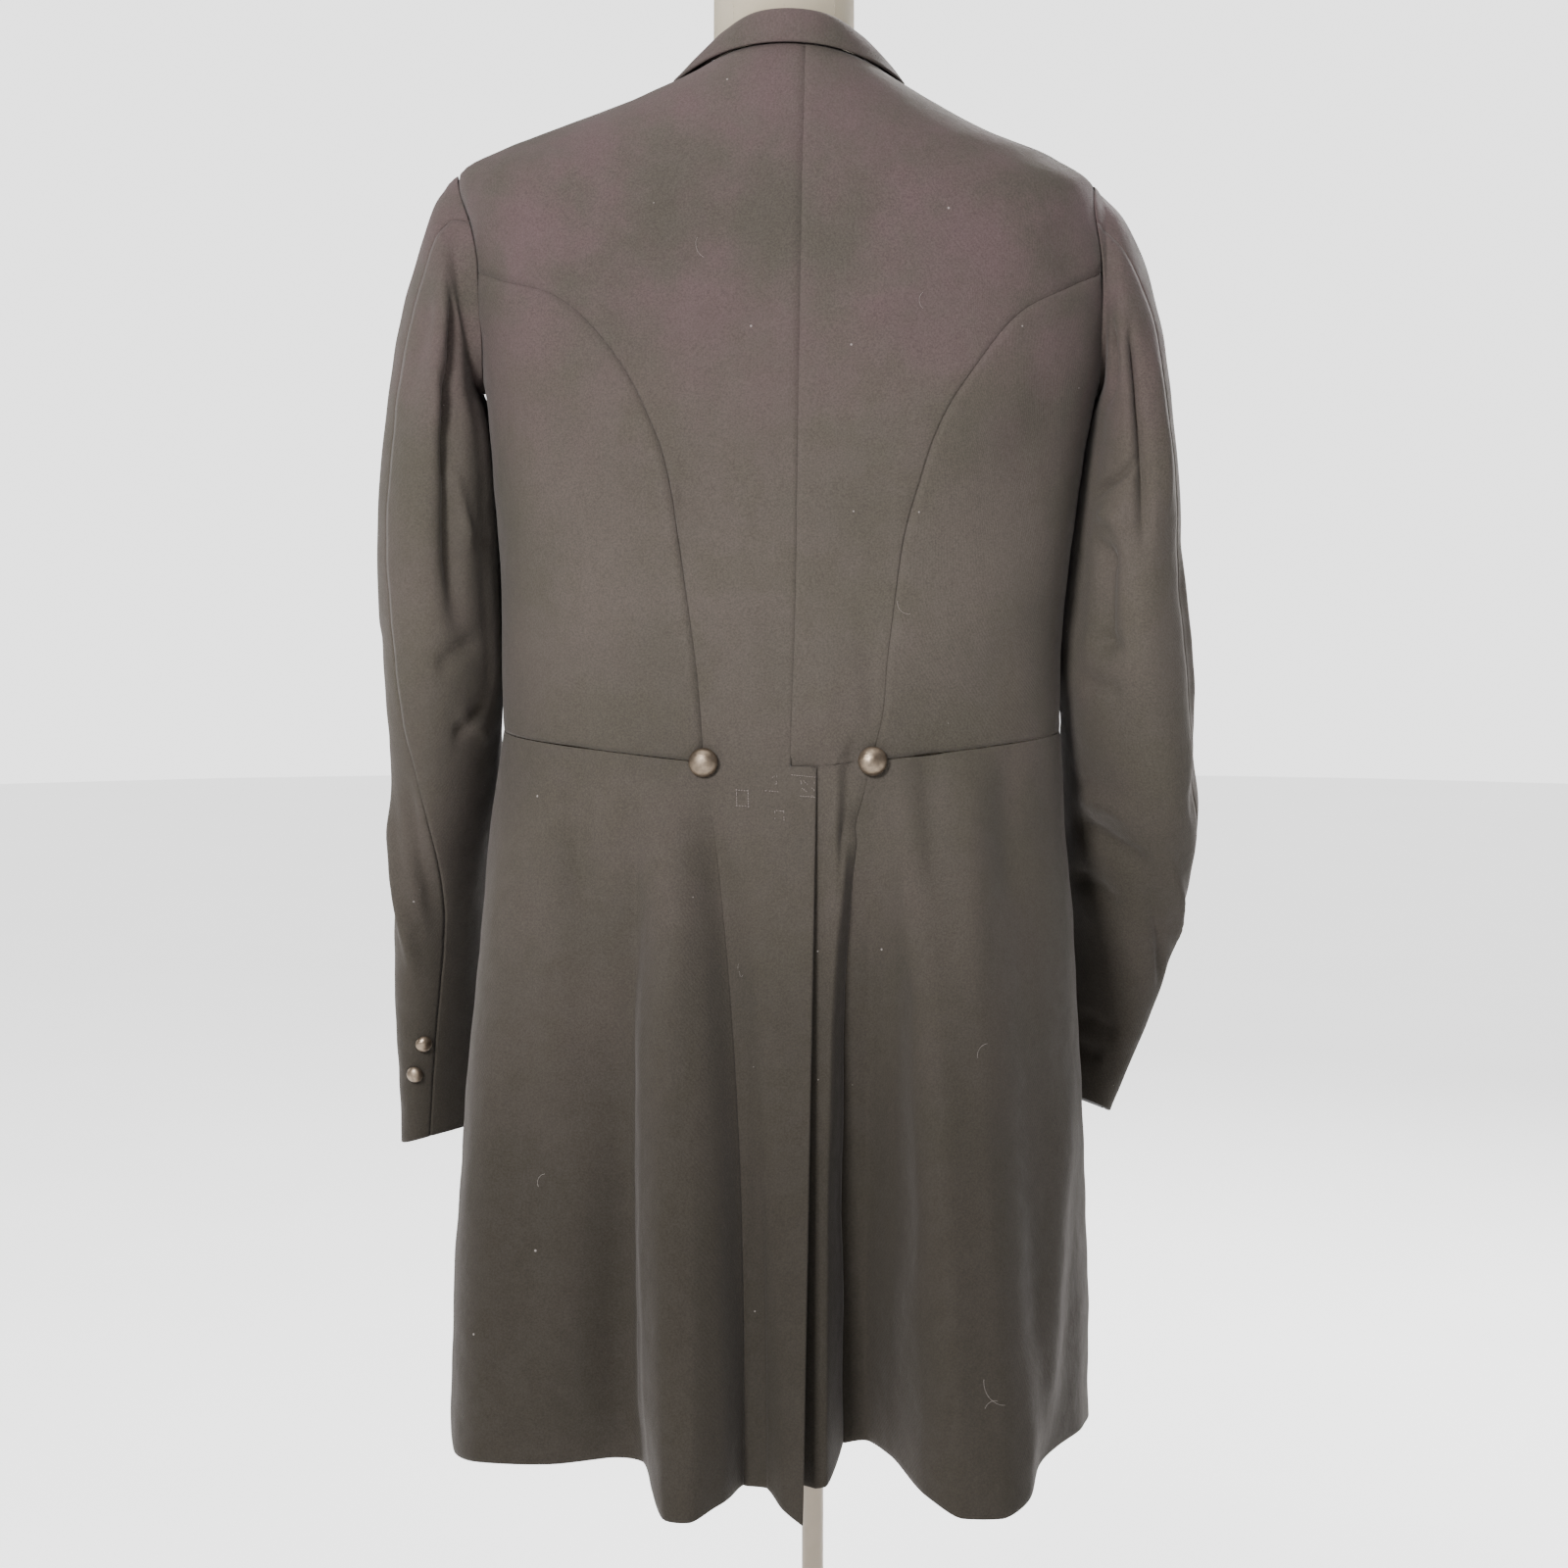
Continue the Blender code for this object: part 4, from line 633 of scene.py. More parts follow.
def make_wool(colours):
    """Faded dark broadcloth with its nap, warp lines, mottling and lint, and painted shade that darkens it
    towards the hem.
    """
    nodes, links, shader = new_material("Faded wool", colours.wool[:], 0.9)
    places = nodes.new("ShaderNodeTexCoord")
    here, weave = places.outputs["Object"], places.outputs["UV"]
    mottle = group_node(nodes, links, "Mottling", here, Size=0.16)
    close = group_node(nodes, links, "Mottling", here, Size=0.030)
    colour = mix(nodes, links, mottle["Cloud"], colours.wool[:], colours.wool_faded[:])
    split = nodes.new("ShaderNodeSeparateXYZ")
    links.new(here, split.inputs[0])
    height = split.outputs[2]
    high = ramp(nodes, links, height, 1.14, 1.32, 0.15, 0.90)
    purple = maths(nodes, links, "MULTIPLY", mottle["Patch"], high)
    colour = mix(nodes, links, purple, colour, colours.wool_purple[:])
    low = ramp(nodes, links, height, 1.20, 1.36, 0.60, 0.10)
    green = maths(nodes, links, "MULTIPLY_ADD", ramp(nodes, links, close["Cloud"], 0.35, 1.0), 0.35, 0.3)
    green = maths(nodes, links, "MULTIPLY", green, low)
    colour = mix(nodes, links, green, colour, colours.wool_green[:])
    # Painted shade: below 1.12 m the colour is mixed most of the way to a darker wool, in place of light
    # falling off down the coat
    up = ramp(nodes, links, height, 0.66, 1.12)
    colour = mix(nodes, links, up, mix(nodes, links, 0.82, colour, colours.wool_painted_shade[:]), colour)
    warp = nodes.new("ShaderNodeMapping")
    warp.inputs["Scale"].default_value = (1.0, 0.05, 1.0)
    links.new(weave, warp.inputs["Vector"])
    lines = noise(nodes, links, warp.outputs["Vector"], 900.0, 3.0, 0.7)
    fuzz = noise(nodes, links, here, 850.0, 4.0, 0.75)
    grain = maths(nodes, links, "ADD", maths(nodes, links, "MULTIPLY", lines, 0.12), fuzz)
    tone = ramp(nodes, links, grain, 0.36, 0.76, 0.80, 1.22)
    bright = nodes.new("ShaderNodeVectorMath")
    bright.operation = "SCALE"
    links.new(colour, bright.inputs[0])
    links.new(tone, bright.inputs["Scale"])
    lint = group_node(nodes, links, "Lint", here, Spacing=0.021)
    specks = maths(nodes, links, "MULTIPLY", lint["Mask"], 0.5)
    colour = mix(nodes, links, specks, bright.outputs[0], (0.42, 0.38, 0.36))
    links.new(colour, shader.inputs["Base Color"])
    rough = ramp(nodes, links, close["Patch"], 0.0, 1.0, 0.86, 0.97)
    links.new(rough, shader.inputs["Roughness"])
    shader.inputs["Sheen Weight"].default_value = 0.12
    shader.inputs["Sheen Roughness"].default_value = 0.42
    shader.inputs["Sheen Tint"].default_value = (0.80, 0.74, 0.72, 1)
    shader.inputs["Specular IOR Level"].default_value = 0.18
    twill = group_node(nodes, links, "Twill weave", weave, Threads_per_metre=1350.0)
    weave_bump = bump(nodes, links, twill["Height"], 0.00007)
    nap = bump(nodes, links, grain, 0.00016, 1.0, weave_bump)
    soft = noise(nodes, links, here, 95.0, 3.0, 0.5)
    links.new(bump(nodes, links, soft, 0.0009, 0.55, nap), shader.inputs["Normal"])


def make_lining(colours):
    """Dark satin twill with its own ribs and a soft gloss."""
    nodes, links, shader = new_material("Twill lining", colours.lining[:], 0.42)
    places = nodes.new("ShaderNodeTexCoord")
    here, weave = places.outputs["Object"], places.outputs["UV"]
    mottle = group_node(nodes, links, "Mottling", here, Size=0.08)
    worn = tuple(1.9 * part for part in colours.lining[:3])
    share = maths(nodes, links, "MULTIPLY", mottle["Patch"], 0.6)
    links.new(mix(nodes, links, share, colours.lining[:], worn), shader.inputs["Base Color"])
    links.new(ramp(nodes, links, mottle["Cloud"], 0.0, 1.0, 0.36, 0.55), shader.inputs["Roughness"])
    twill = group_node(nodes, links, "Twill weave", weave, Threads_per_metre=1900.0)
    links.new(bump(nodes, links, twill["Height"], 0.00012), shader.inputs["Normal"])


def make_thread(name, colour):
    """Sewing thread with its twist."""
    nodes, links, shader = new_material(name, colour, 0.7)
    here = nodes.new("ShaderNodeTexCoord").outputs["Object"]
    fibres = noise(nodes, links, here, 2500.0, 2.0)
    tone = ramp(nodes, links, fibres, 0.3, 0.7, 0.75, 1.2)
    light = nodes.new("ShaderNodeVectorMath")
    light.operation = "SCALE"
    light.inputs[0].default_value = colour
    links.new(tone, light.inputs["Scale"])
    links.new(light.outputs[0], shader.inputs["Base Color"])
    shader.inputs["Sheen Weight"].default_value = 0.2
    links.new(bump(nodes, links, fibres, 0.0001), shader.inputs["Normal"])


def make_metal(colours):
    """Old plated button metal with patches of darker patina, and painted shade that darkens it where its face
    turns from the view.
    """
    nodes, links, shader = new_material("Worn button metal", colours.metal[:], 0.4, 0.92)
    here = nodes.new("ShaderNodeTexCoord").outputs["Object"]
    mottle = group_node(nodes, links, "Mottling", here, Size=0.006)
    dark = tuple(0.42 * part for part in colours.metal[:3])
    share = maths(nodes, links, "MULTIPLY", mottle["Patch"], 0.6)
    colour = mix(nodes, links, share, colours.metal[:], dark)
    # Painted shade: the colour goes towards the dark metal as the surface turns away from the view, at the
    # button's edges
    slope = nodes.new("ShaderNodeLayerWeight")
    slope.inputs["Blend"].default_value = 0.35
    edge = ramp(nodes, links, slope.outputs["Facing"], 0.35, 0.85, 0.0, 0.75)
    links.new(mix(nodes, links, edge, colour, dark), shader.inputs["Base Color"])
    links.new(ramp(nodes, links, mottle["Cloud"], 0.0, 1.0, 0.30, 0.50), shader.inputs["Roughness"])
    links.new(ramp(nodes, links, mottle["Patch"], 0.0, 1.0, 0.98, 0.80), shader.inputs["Metallic"])
    links.new(bump(nodes, links, mottle["Grain"], 0.00005, 0.6), shader.inputs["Normal"])


def make_linen(colours):
    """Cream linen stretched over the form."""
    nodes, links, shader = new_material("Cream linen", colours.linen[:], 0.85)
    places = nodes.new("ShaderNodeTexCoord")
    here, weave = places.outputs["Object"], places.outputs["UV"]
    mottle = group_node(nodes, links, "Mottling", here, Size=0.07)
    stained = tuple(part * share for part, share in zip(colours.linen[:3], (0.80, 0.76, 0.68)))
    share = maths(nodes, links, "MULTIPLY", mottle["Patch"], 0.5)
    colour = mix(nodes, links, share, colours.linen[:], stained)
    plain = group_node(nodes, links, "Plain weave", weave, Threads_per_metre=900.0)
    tone = ramp(nodes, links, plain["Height"], 0.2, 0.9, 0.0, 0.35)
    links.new(mix(nodes, links, tone, stained, colour), shader.inputs["Base Color"])
    links.new(ramp(nodes, links, mottle["Cloud"], 0.0, 1.0, 0.78, 0.92), shader.inputs["Roughness"])
    shader.inputs["Sheen Weight"].default_value = 0.15
    links.new(bump(nodes, links, plain["Height"], 0.00018), shader.inputs["Normal"])


def make_paint(colours):
    """Smooth beige enamel with faint orange peel and wear."""
    nodes, links, shader = new_material("Beige enamel", colours.paint[:], 0.35)
    here = nodes.new("ShaderNodeTexCoord").outputs["Object"]
    mottle = group_node(nodes, links, "Mottling", here, Size=0.05)
    dusty = tuple(part * 0.82 for part in colours.paint[:3])
    share = maths(nodes, links, "MULTIPLY", mottle["Patch"], 0.35)
    links.new(mix(nodes, links, share, colours.paint[:], dusty), shader.inputs["Base Color"])
    links.new(ramp(nodes, links, mottle["Cloud"], 0.0, 1.0, 0.30, 0.46), shader.inputs["Roughness"])
    shader.inputs["Coat Weight"].default_value = 0.25
    peel = noise(nodes, links, here, 420.0, 2.0)
    links.new(bump(nodes, links, peel, 0.00006, 0.5), shader.inputs["Normal"])


def make_floor():
    """Pale matt floor."""
    nodes, links, shader = new_material("Studio floor", (0.93, 0.93, 0.93), 0.75)
    here = nodes.new("ShaderNodeTexCoord").outputs["Object"]
    soft = noise(nodes, links, here, 3.0, 2.0)
    tone = ramp(nodes, links, soft, 0.3, 0.7, 0.0, 1.0)
    links.new(mix(nodes, links, tone, (0.92, 0.92, 0.92), (0.95, 0.95, 0.95)), shader.inputs["Base Color"])
    sight = nodes.new("ShaderNodeLightPath")
    shader.inputs["Emission Color"].default_value = (1, 1, 1, 1)
    glow = maths(nodes, links, "MULTIPLY", sight.outputs["Is Camera Ray"], 1.2)
    links.new(glow, shader.inputs["Emission Strength"])


def unit(v):
    return v / np.maximum(np.linalg.norm(v, axis=-1, keepdims=True), 1e-12)


def curve(knots, values, at):
    """Smooth line through the rows of a table that never overshoots them, read at the places in at."""
    knots = np.asarray(knots, float)
    values = np.asarray(values, float)
    at = np.asarray(at, float)
    step = np.diff(knots)[:, None]
    slope = np.diff(values, axis=0) / step
    ahead, behind = slope[1:], slope[:-1]
    same = ahead * behind > 0
    inner = np.where(same, 2 * ahead * behind / np.where(same, ahead + behind, 1.0), 0.0)
    tangent = np.vstack([slope[:1], inner, slope[-1:]])
    k = np.clip(np.searchsorted(knots, at, side="right") - 1, 0, len(knots) - 2)
    width = step[k]
    f = (at - knots[k])[..., None] / width
    return (
        values[k] * (1 + 2 * f) * (1 - f) ** 2
        + tangent[k] * width * f * (1 - f) ** 2
        + values[k + 1] * f * f * (3 - 2 * f)
        + tangent[k + 1] * width * f * f * (f - 1)
    )


def table(rows, places):
    """The rows of a table read at places counted in rows."""
    return curve(np.arange(len(rows)), rows, places)


def body(angle, level):
    """Point of the coat's outer face at an angle (radians) from the wearer's left and a level row."""
    angle, level = np.broadcast_arrays(np.asarray(angle, float), np.asarray(level, float))
    half, back, front, middle, z_side, z_back, z_front, square = np.moveaxis(table(BODY, level), -1, 0)
    c, s = np.cos(angle), np.sin(angle)
    deep = np.where(s >= 0, back, front)
    reach = (np.abs(c / half) ** square + np.abs(s / deep) ** square) ** (-1 / square)
    z = z_side * c * c + np.where(s >= 0, z_back, z_front) * s * s
    z = z + SHOULDER_TILT * reach * c * np.clip((level - 4.5) / 1.5, 0, 1)
    return np.stack([middle + reach * c, reach * s, z], axis=-1)


def body_normal(angle, level):
    """Direction out of the coat's body."""
    small = 1e-3
    around = body(angle + small, level) - body(angle - small, level)
    low, high = np.clip(level - small, 0, NECK_LEVEL), np.clip(level + small, 0, NECK_LEVEL)
    return unit(np.cross(around, body(angle, high) - body(angle, low)))


def on_side(degrees, side):
    """Angle on the body of a place told in degrees from the wearer's own side towards the back."""
    return np.radians(degrees) if side > 0 else np.pi - np.radians(degrees)


def name_of(side):
    return "left" if side > 0 else "right"


def chart_at(goal, axes, guess):
    """The angle and level where the body has the goal's two coordinates."""
    place = np.array(guess, float)
    small = 1e-4
    for _ in range(60):
        here = body(*place)[list(axes)]
        turned = body(place[0] + small, place[1])[list(axes)]
        raised = body(place[0], place[1] + small)[list(axes)]
        slopes = np.stack([turned - here, raised - here], axis=-1) / small
        place += np.clip(np.linalg.solve(slopes, np.asarray(goal) - here), -0.15, 0.15)
    return place


def waist_angle(x):
    """Angle at the back of the waist where the body has this x."""
    low, high = 0.02, np.pi - 0.02
    for _ in range(50):
        middle = (low + high) / 2
        if body(middle, 0.0)[0] > x:
            low = middle
        else:
            high = middle
    return (low + high) / 2


def centre_back(level):
    """Angle of the centre back seam at each level."""
    x = curve([row[0] for row in CENTRE_BACK], [[row[1]] for row in CENTRE_BACK], level)[..., 0]
    angle = np.full_like(x, np.pi / 2)
    for _ in range(8):
        here = body(angle, level)
        angle += (here[..., 0] - x) / here[..., 1]
    return angle


def even(points, count):
    """Chart points spread evenly, by distance on the body, along a smooth line through the given ones."""
    points = np.asarray(points, float)
    steps = np.linalg.norm(np.diff(body(points[:, 0], points[:, 1]), axis=0), axis=1)
    far = np.concatenate([[0], np.cumsum(steps)])
    return curve(far, points, np.linspace(0, far[-1], count + 1))


def straight(start, end, count):
    """Chart points in even steps from one place to another."""
    return np.linspace(start, end, count + 1)


def coons(bottom, top, left, right):
    """Patch of chart points between four boundary lines, indexed [across, up]."""
    u = np.linspace(0, 1, len(bottom))[:, None, None]
    v = np.linspace(0, 1, len(left))[None, :, None]
    across = (1 - v) * bottom[:, None] + v * top[:, None]
    upward = (1 - u) * left[None] + u * right[None]
    low = (1 - u) * bottom[0] + u * bottom[-1]
    high = (1 - u) * top[0] + u * top[-1]
    return across + upward - (1 - v) * low - v * high


def grid_normals(points, outward):
    """Directions square to a grid of points, on the side that the outward directions are on."""
    normals = unit(np.cross(np.gradient(points, axis=0), np.gradient(points, axis=1)))
    return normals * np.sign(np.sum(normals * outward))


def trimmed(points, normals, sides):
    """The grid with its named edges drawn in by half a seam's gap."""
    points = points.copy()
    edges = {
        "left": (np.s_[0, :], np.s_[1, :]),
        "right": (np.s_[-1, :], np.s_[-2, :]),
        "bottom": (np.s_[:, 0], np.s_[:, 1]),
        "top": (np.s_[:, -1], np.s_[:, -2]),
    }
    for side in sides:
        edge, inside = edges[side]
        inward = unit(np.cross(normals[edge], np.gradient(points[edge], axis=0)))
        towards = np.sum(inward * (points[inside] - points[edge]), axis=-1, keepdims=True)
        points[edge] += inward * np.sign(towards) * SEAM_GAP * 0.5
    return points


def armhole(side):
    """Chart points of the armhole's rows, from the shoulder seam backwards and round to it again."""
    tip = np.array([on_side(SHOULDER_DEG, side), TIP_LEVEL])
    rows = [chart_at(row, (1, 2), (on_side(300 * row[0], side), 5.0)) for row in ARMHOLE]
    return np.array([tip, *rows, tip])


def side_body_seam(side, rim):
    """Chart points of the seam from the back of the armhole to the hip button."""
    column = 0 if side > 0 else 2
    rows = [
        chart_at((side * row[column], row[column + 1]), (0, 2), (on_side(45.0, side), 3.5))
        for row in SIDE_BODY_SEAM
    ]
    foot = waist_angle(tail_rows(side)[-1][0])
    return np.array([rim[BACK_OF_ARMHOLE], *rows, (foot, 0.0)])


def shoulder_line(side, count):
    """Chart points along the shoulder seam, from the armhole to the neck."""
    level = np.linspace(TIP_LEVEL, NECK_LEVEL, 13)
    return even(np.stack([np.full(13, on_side(SHOULDER_DEG, side)), level], axis=-1), count)


def side_seam(side, rim):
    """Chart points of the seam under the armhole, from the waist up."""
    return straight((on_side(SIDE_SEAM_DEG, side), 0.0), rim[FOOT_OF_ARMHOLE], SEAM_ROWS)


def waist_line(start, end, count):
    """Chart points along the waist between two angles."""
    return straight((start, 0.0), (end, 0.0), count)


def roll_line(side, count):
    """Chart points from the break of the front up to where the roll leaves the neck."""
    low = (on_side(FRONT_EDGE_DEG, side), BREAK_LEVEL)
    high = (on_side(ROLL_DEG, side), NECK_LEVEL)
    middle = (0.55 * low[0] + 0.45 * high[0], 0.48 * low[1] + 0.52 * high[1])
    return even([low, middle, high], count)


def back_chart(side, rim, seam):
    """Chart points of the bodice part of a back [across from the centre, up from the waist]."""
    outer = np.vstack(
        [even(seam[::-1], SEAM_ROWS), even(rim[: BACK_OF_ARMHOLE + 1][::-1], ARMHOLE_ROWS)[1:]]
    )
    level = np.append(np.linspace(0, 5.1, SEAM_ROWS + 1), np.linspace(5.1, NECK_LEVEL, ARMHOLE_ROWS + 1)[1:])
    centre = np.stack([centre_back(level), level], axis=-1)
    neck = straight(centre[-1], (on_side(SHOULDER_DEG, side), NECK_LEVEL), BACK_ACROSS - BACK_RIDGE)
    top = np.vstack([neck, shoulder_line(side, BACK_RIDGE)[::-1][1:]])
    return coons(waist_line(centre[0, 0], outer[0, 0], BACK_ACROSS), top, centre, outer)


def side_body_chart(side, rim, seam):
    """Chart points of a side body [across from the back seam, up from the waist]."""
    back_edge = even(seam[::-1], SEAM_ROWS)
    side_edge = side_seam(side, rim)
    top = even(rim[BACK_OF_ARMHOLE : FOOT_OF_ARMHOLE + 1], SIDE_BODY_ACROSS)
    return coons(waist_line(back_edge[0, 0], side_edge[0, 0], SIDE_BODY_ACROSS), top, back_edge, side_edge)


def forepart_chart(side, rim):
    """Chart points of a forepart [across from the side, up from the waist]."""
    side_edge = np.vstack([side_seam(side, rim), even(rim[FOOT_OF_ARMHOLE:], FOREPART_ARMHOLE_ROWS)[1:]])
    edge_rows = len(side_edge) - 1 - NECK_ROWS - ROLL_ROWS
    corner = on_side(FRONT_EDGE_DEG, side)
    roll = roll_line(side, ROLL_ROWS)
    neck = straight(roll[-1], (on_side(SHOULDER_DEG, side), NECK_LEVEL), NECK_ROWS)
    edge = np.vstack([straight((corner, 0.0), (corner, BREAK_LEVEL), edge_rows), roll[1:], neck[1:]])
    return coons(
        waist_line(side_edge[0, 0], corner, FOREPART_ACROSS),
        shoulder_line(side, FOREPART_ACROSS),
        side_edge,
        edge,
    )


def lapel_chart(side):
    """Chart points of a lapel [across from the roll line, up from the break]."""
    across, up = LAPEL_CELLS
    roll = roll_line(side, up)
    if side < 0:
        roll = curve(np.linspace(0, 1, up + 1), roll, np.linspace(RIGHT_LAPEL_START, 1, up + 1))
    edge = [(on_side(degrees, side), level) for degrees, level in LAPEL_EDGE]
    start = roll[0] + (roll[1] - roll[0]) * 0.15 + (side * 0.025, 0.0)
    outer = even([start, *edge[2 if side < 0 else 0 :]], up)
    notch = (on_side(LAPEL_NOTCH[0], side), LAPEL_NOTCH[1])
    top = np.array([roll[-1] * (1 - f) + np.array(notch) * f for f in np.linspace(0, 1, across // 2 + 1)])
    top = np.vstack([top, straight(notch, outer[-1], across - across // 2)[1:]])
    return coons(straight(roll[0], outer[0], across), top, roll, outer)


def front_rise(side, angle):
    """How far the left front stands over the right one, easing away from the centre."""
    past = np.clip((np.radians(-68.0) - angle) / np.radians(13.0), 0, 1) if side > 0 else 0 * angle
    return FRONT_STEP * past * past * (3 - 2 * past)


def tail_rows(side):
    """The tail's table with x as it is on its side."""
    rows = np.array(LEFT_TAIL if side > 0 else RIGHT_TAIL)
    rows[:, :2] *= side
    return rows


def hanging(waist, rows, down):
    """Points [across, down] of a hanging sheet from its waist points and (x, y, dip, x rate, y rate)."""
    x_hem, y_hem, dip, x_rate, y_rate = (rows[:, k, None] for k in range(5))
    x, y, z = (waist[:, k, None] for k in range(3))
    out, back = 1 - (1 - down) ** x_rate, 1 - (1 - down) ** y_rate
    return np.stack([x + (x_hem - x) * out, y + (y_hem - y) * back, z + (HEM - dip - z) * down], axis=-1)


def share_down(rows):
    """Shares of the way from the waist to the hem at which rows of cells end."""
    return (np.arange(rows) + 0.16) / (rows - 0.84)


def sleeve_seams(side, share):
    """Angles of the hind and the front seam round the ring at a share of the way down a sleeve."""
    rows = LEFT_SLEEVE_SEAMS if side > 0 else RIGHT_SLEEVE_SEAMS
    return np.radians(curve([row[0] for row in rows], [row[1:] for row in rows], share))


def sleeve_ring(row, around, side):
    """Points of one ring of a sleeve at angles from its outermost point backwards, and its middle."""
    outer_x, outer_z, inner_x, inner_z, y, deep, turn = row
    turn = np.radians(turn)
    half = np.array([(outer_x - inner_x) / 2, 0, (outer_z - inner_z) / 2])
    out = np.array([half[0] * np.cos(turn), -half[0] * np.sin(turn), half[2]])
    back = deep * np.array([np.sin(turn), np.cos(turn), 0])
    middle = np.array([(outer_x + inner_x) / 2, y, (outer_z + inner_z) / 2])
    points = middle + np.cos(around)[:, None] * out + np.sin(around)[:, None] * back
    return points * (side, 1, 1), middle * (side, 1, 1)


def armhole_ring(rim, around):
    """Points and body directions round the armhole at the sleeve's ring angles, and directions off it."""
    places = body(rim[:-1, 0], rim[:-1, 1])
    middle = places.mean(axis=0)
    turn = np.unwrap(np.arctan2(places[:, 1] - middle[1], places[:, 2] - middle[2]))
    knots = np.concatenate([turn - 2 * np.pi, turn, turn + 2 * np.pi])
    chart = curve(knots, np.vstack([rim[:-1]] * 3), around)
    points = body(chart[:, 0], chart[:, 1])
    normals = body_normal(chart[:, 0], chart[:, 1])
    ahead = body(*curve(knots, np.vstack([rim[:-1]] * 3), around + 0.01).T)
    off = unit(np.cross(normals, ahead - points))
    off *= np.sign(np.sum(off * (points - middle), axis=-1, keepdims=True))
    return points, normals, off


def smooth(share):
    """Eases from 0 to 1."""
    share = np.clip(share, 0, 1)
    return share * share * (3 - 2 * share)


def crease_height(across, upward, rows):
    """Height of soft ridges and troughs, each along a bowed line between two places of a plane."""
    total = 0 * across
    for x0, z0, x1, z1, bow, wide, high in rows:
        length = math.hypot(x1 - x0, z1 - z0)
        ux, uz = (x1 - x0) / length, (z1 - z0) / length
        share = ((across - x0) * ux + (upward - z0) * uz) / length
        inside = np.clip(share, 0, 1)
        beside = (upward - z0) * ux - (across - x0) * uz - 4 * bow * inside * (1 - inside)
        ends = smooth(share / 0.28) * smooth((1 - share) / 0.28)
        total = total + high * np.exp(-((beside / wide) ** 2)) * ends
    return total


def unevenness(points):
    """The slight swell of cloth that hangs free, as a sum of waves in several directions."""
    total = 0 * points[..., 0]
    for around, up, length, phase, high in UNEVENNESS:
        a, u = math.radians(around), math.radians(up)
        way = np.array([math.cos(a) * math.cos(u), math.sin(a) * math.cos(u), math.sin(u)])
        total = total + high * np.sin(points @ way * 2 * np.pi / length + phase)
    return total


def edge_distance(points, side):
    """How far each point of a grid lies from one of its edges, along the cloth."""
    axis = 0 if side in ("left", "right") else 1
    steps = np.linalg.norm(np.diff(points, axis=axis), axis=-1)
    if side in ("right", "top"):
        steps = np.flip(steps, axis)
    far = np.insert(np.cumsum(steps, axis=axis), 0, 0, axis=axis)
    return np.flip(far, axis) if side in ("right", "top") else far


def seam_relief(points, sides, look, hole=None):
    """How the cloth dips into its seams, with the faint pucker that the sewing leaves, save at the armhole."""
    total = 0 * points[..., 0]
    for side in sides:
        far = edge_distance(points, side)
        run = edge_distance(points, "bottom" if side in ("left", "right") else "left")
        pucker = np.sin(run * 2 * np.pi / 0.0125 + 2.2 * np.sin(run / 0.031))
        dip = look.pucker * pucker * np.exp(-((far / 0.0085) ** 2))
        dip = dip - look.seam_dip * np.exp(-((far / 0.0026) ** 2))
        if hole and hole[0] == side:
            dip = dip * smooth((hole[1] - np.arange(points.shape[1])) / 4)
        total = total + dip
    return total


def body_relief(points, normals, look):
    """Creases and swell of the cloth on the body and in the skirts, by the way that it faces."""
    back = smooth((normals[..., 1] + 0.25) / 0.5)
    behind = crease_height(points[..., 0], points[..., 2], BACK_CREASES)
    before = crease_height(points[..., 0], points[..., 2], FRONT_CREASES)
    swell = unevenness(points) * look.swell
    return (behind * back + before * (1 - back)) * look.crease + swell


def uv_of(points):
    """Warp and weft coordinates of a grid, in metres."""
    middle = points[points.shape[0] // 2]
    down = np.insert(np.cumsum(np.linalg.norm(np.diff(middle, axis=0), axis=-1)), 0, 0)
    across = edge_distance(points, "left")
    across = across - across[points.shape[0] // 2]
    return np.stack([across, np.broadcast_to(down, across.shape)], axis=-1)


def add_mesh(name, vertices, faces, materials, slots=None, uvs=None):
    """A smooth mesh object with its materials, and UVs given by vertex."""
    mesh = bpy.data.meshes.new(name)
    mesh.from_pydata(np.asarray(vertices, float).tolist(), [], faces)
    mesh.shade_smooth()
    for material in materials:
        mesh.materials.append(bpy.data.materials[material])
    if slots is not None:
        mesh.polygons.foreach_set("material_index", slots)
    if uvs is not None:
        corners = np.empty(len(mesh.loops), np.int32)
        mesh.loops.foreach_get("vertex_index", corners)
        layer = mesh.uv_layers.new(name="Weave")
        layer.data.foreach_set("uv", np.asarray(uvs, np.float32)[corners].ravel())
    mesh.update()
    obj = bpy.data.objects.new(name, mesh)
    bpy.context.scene.collection.objects.link(obj)
    return obj


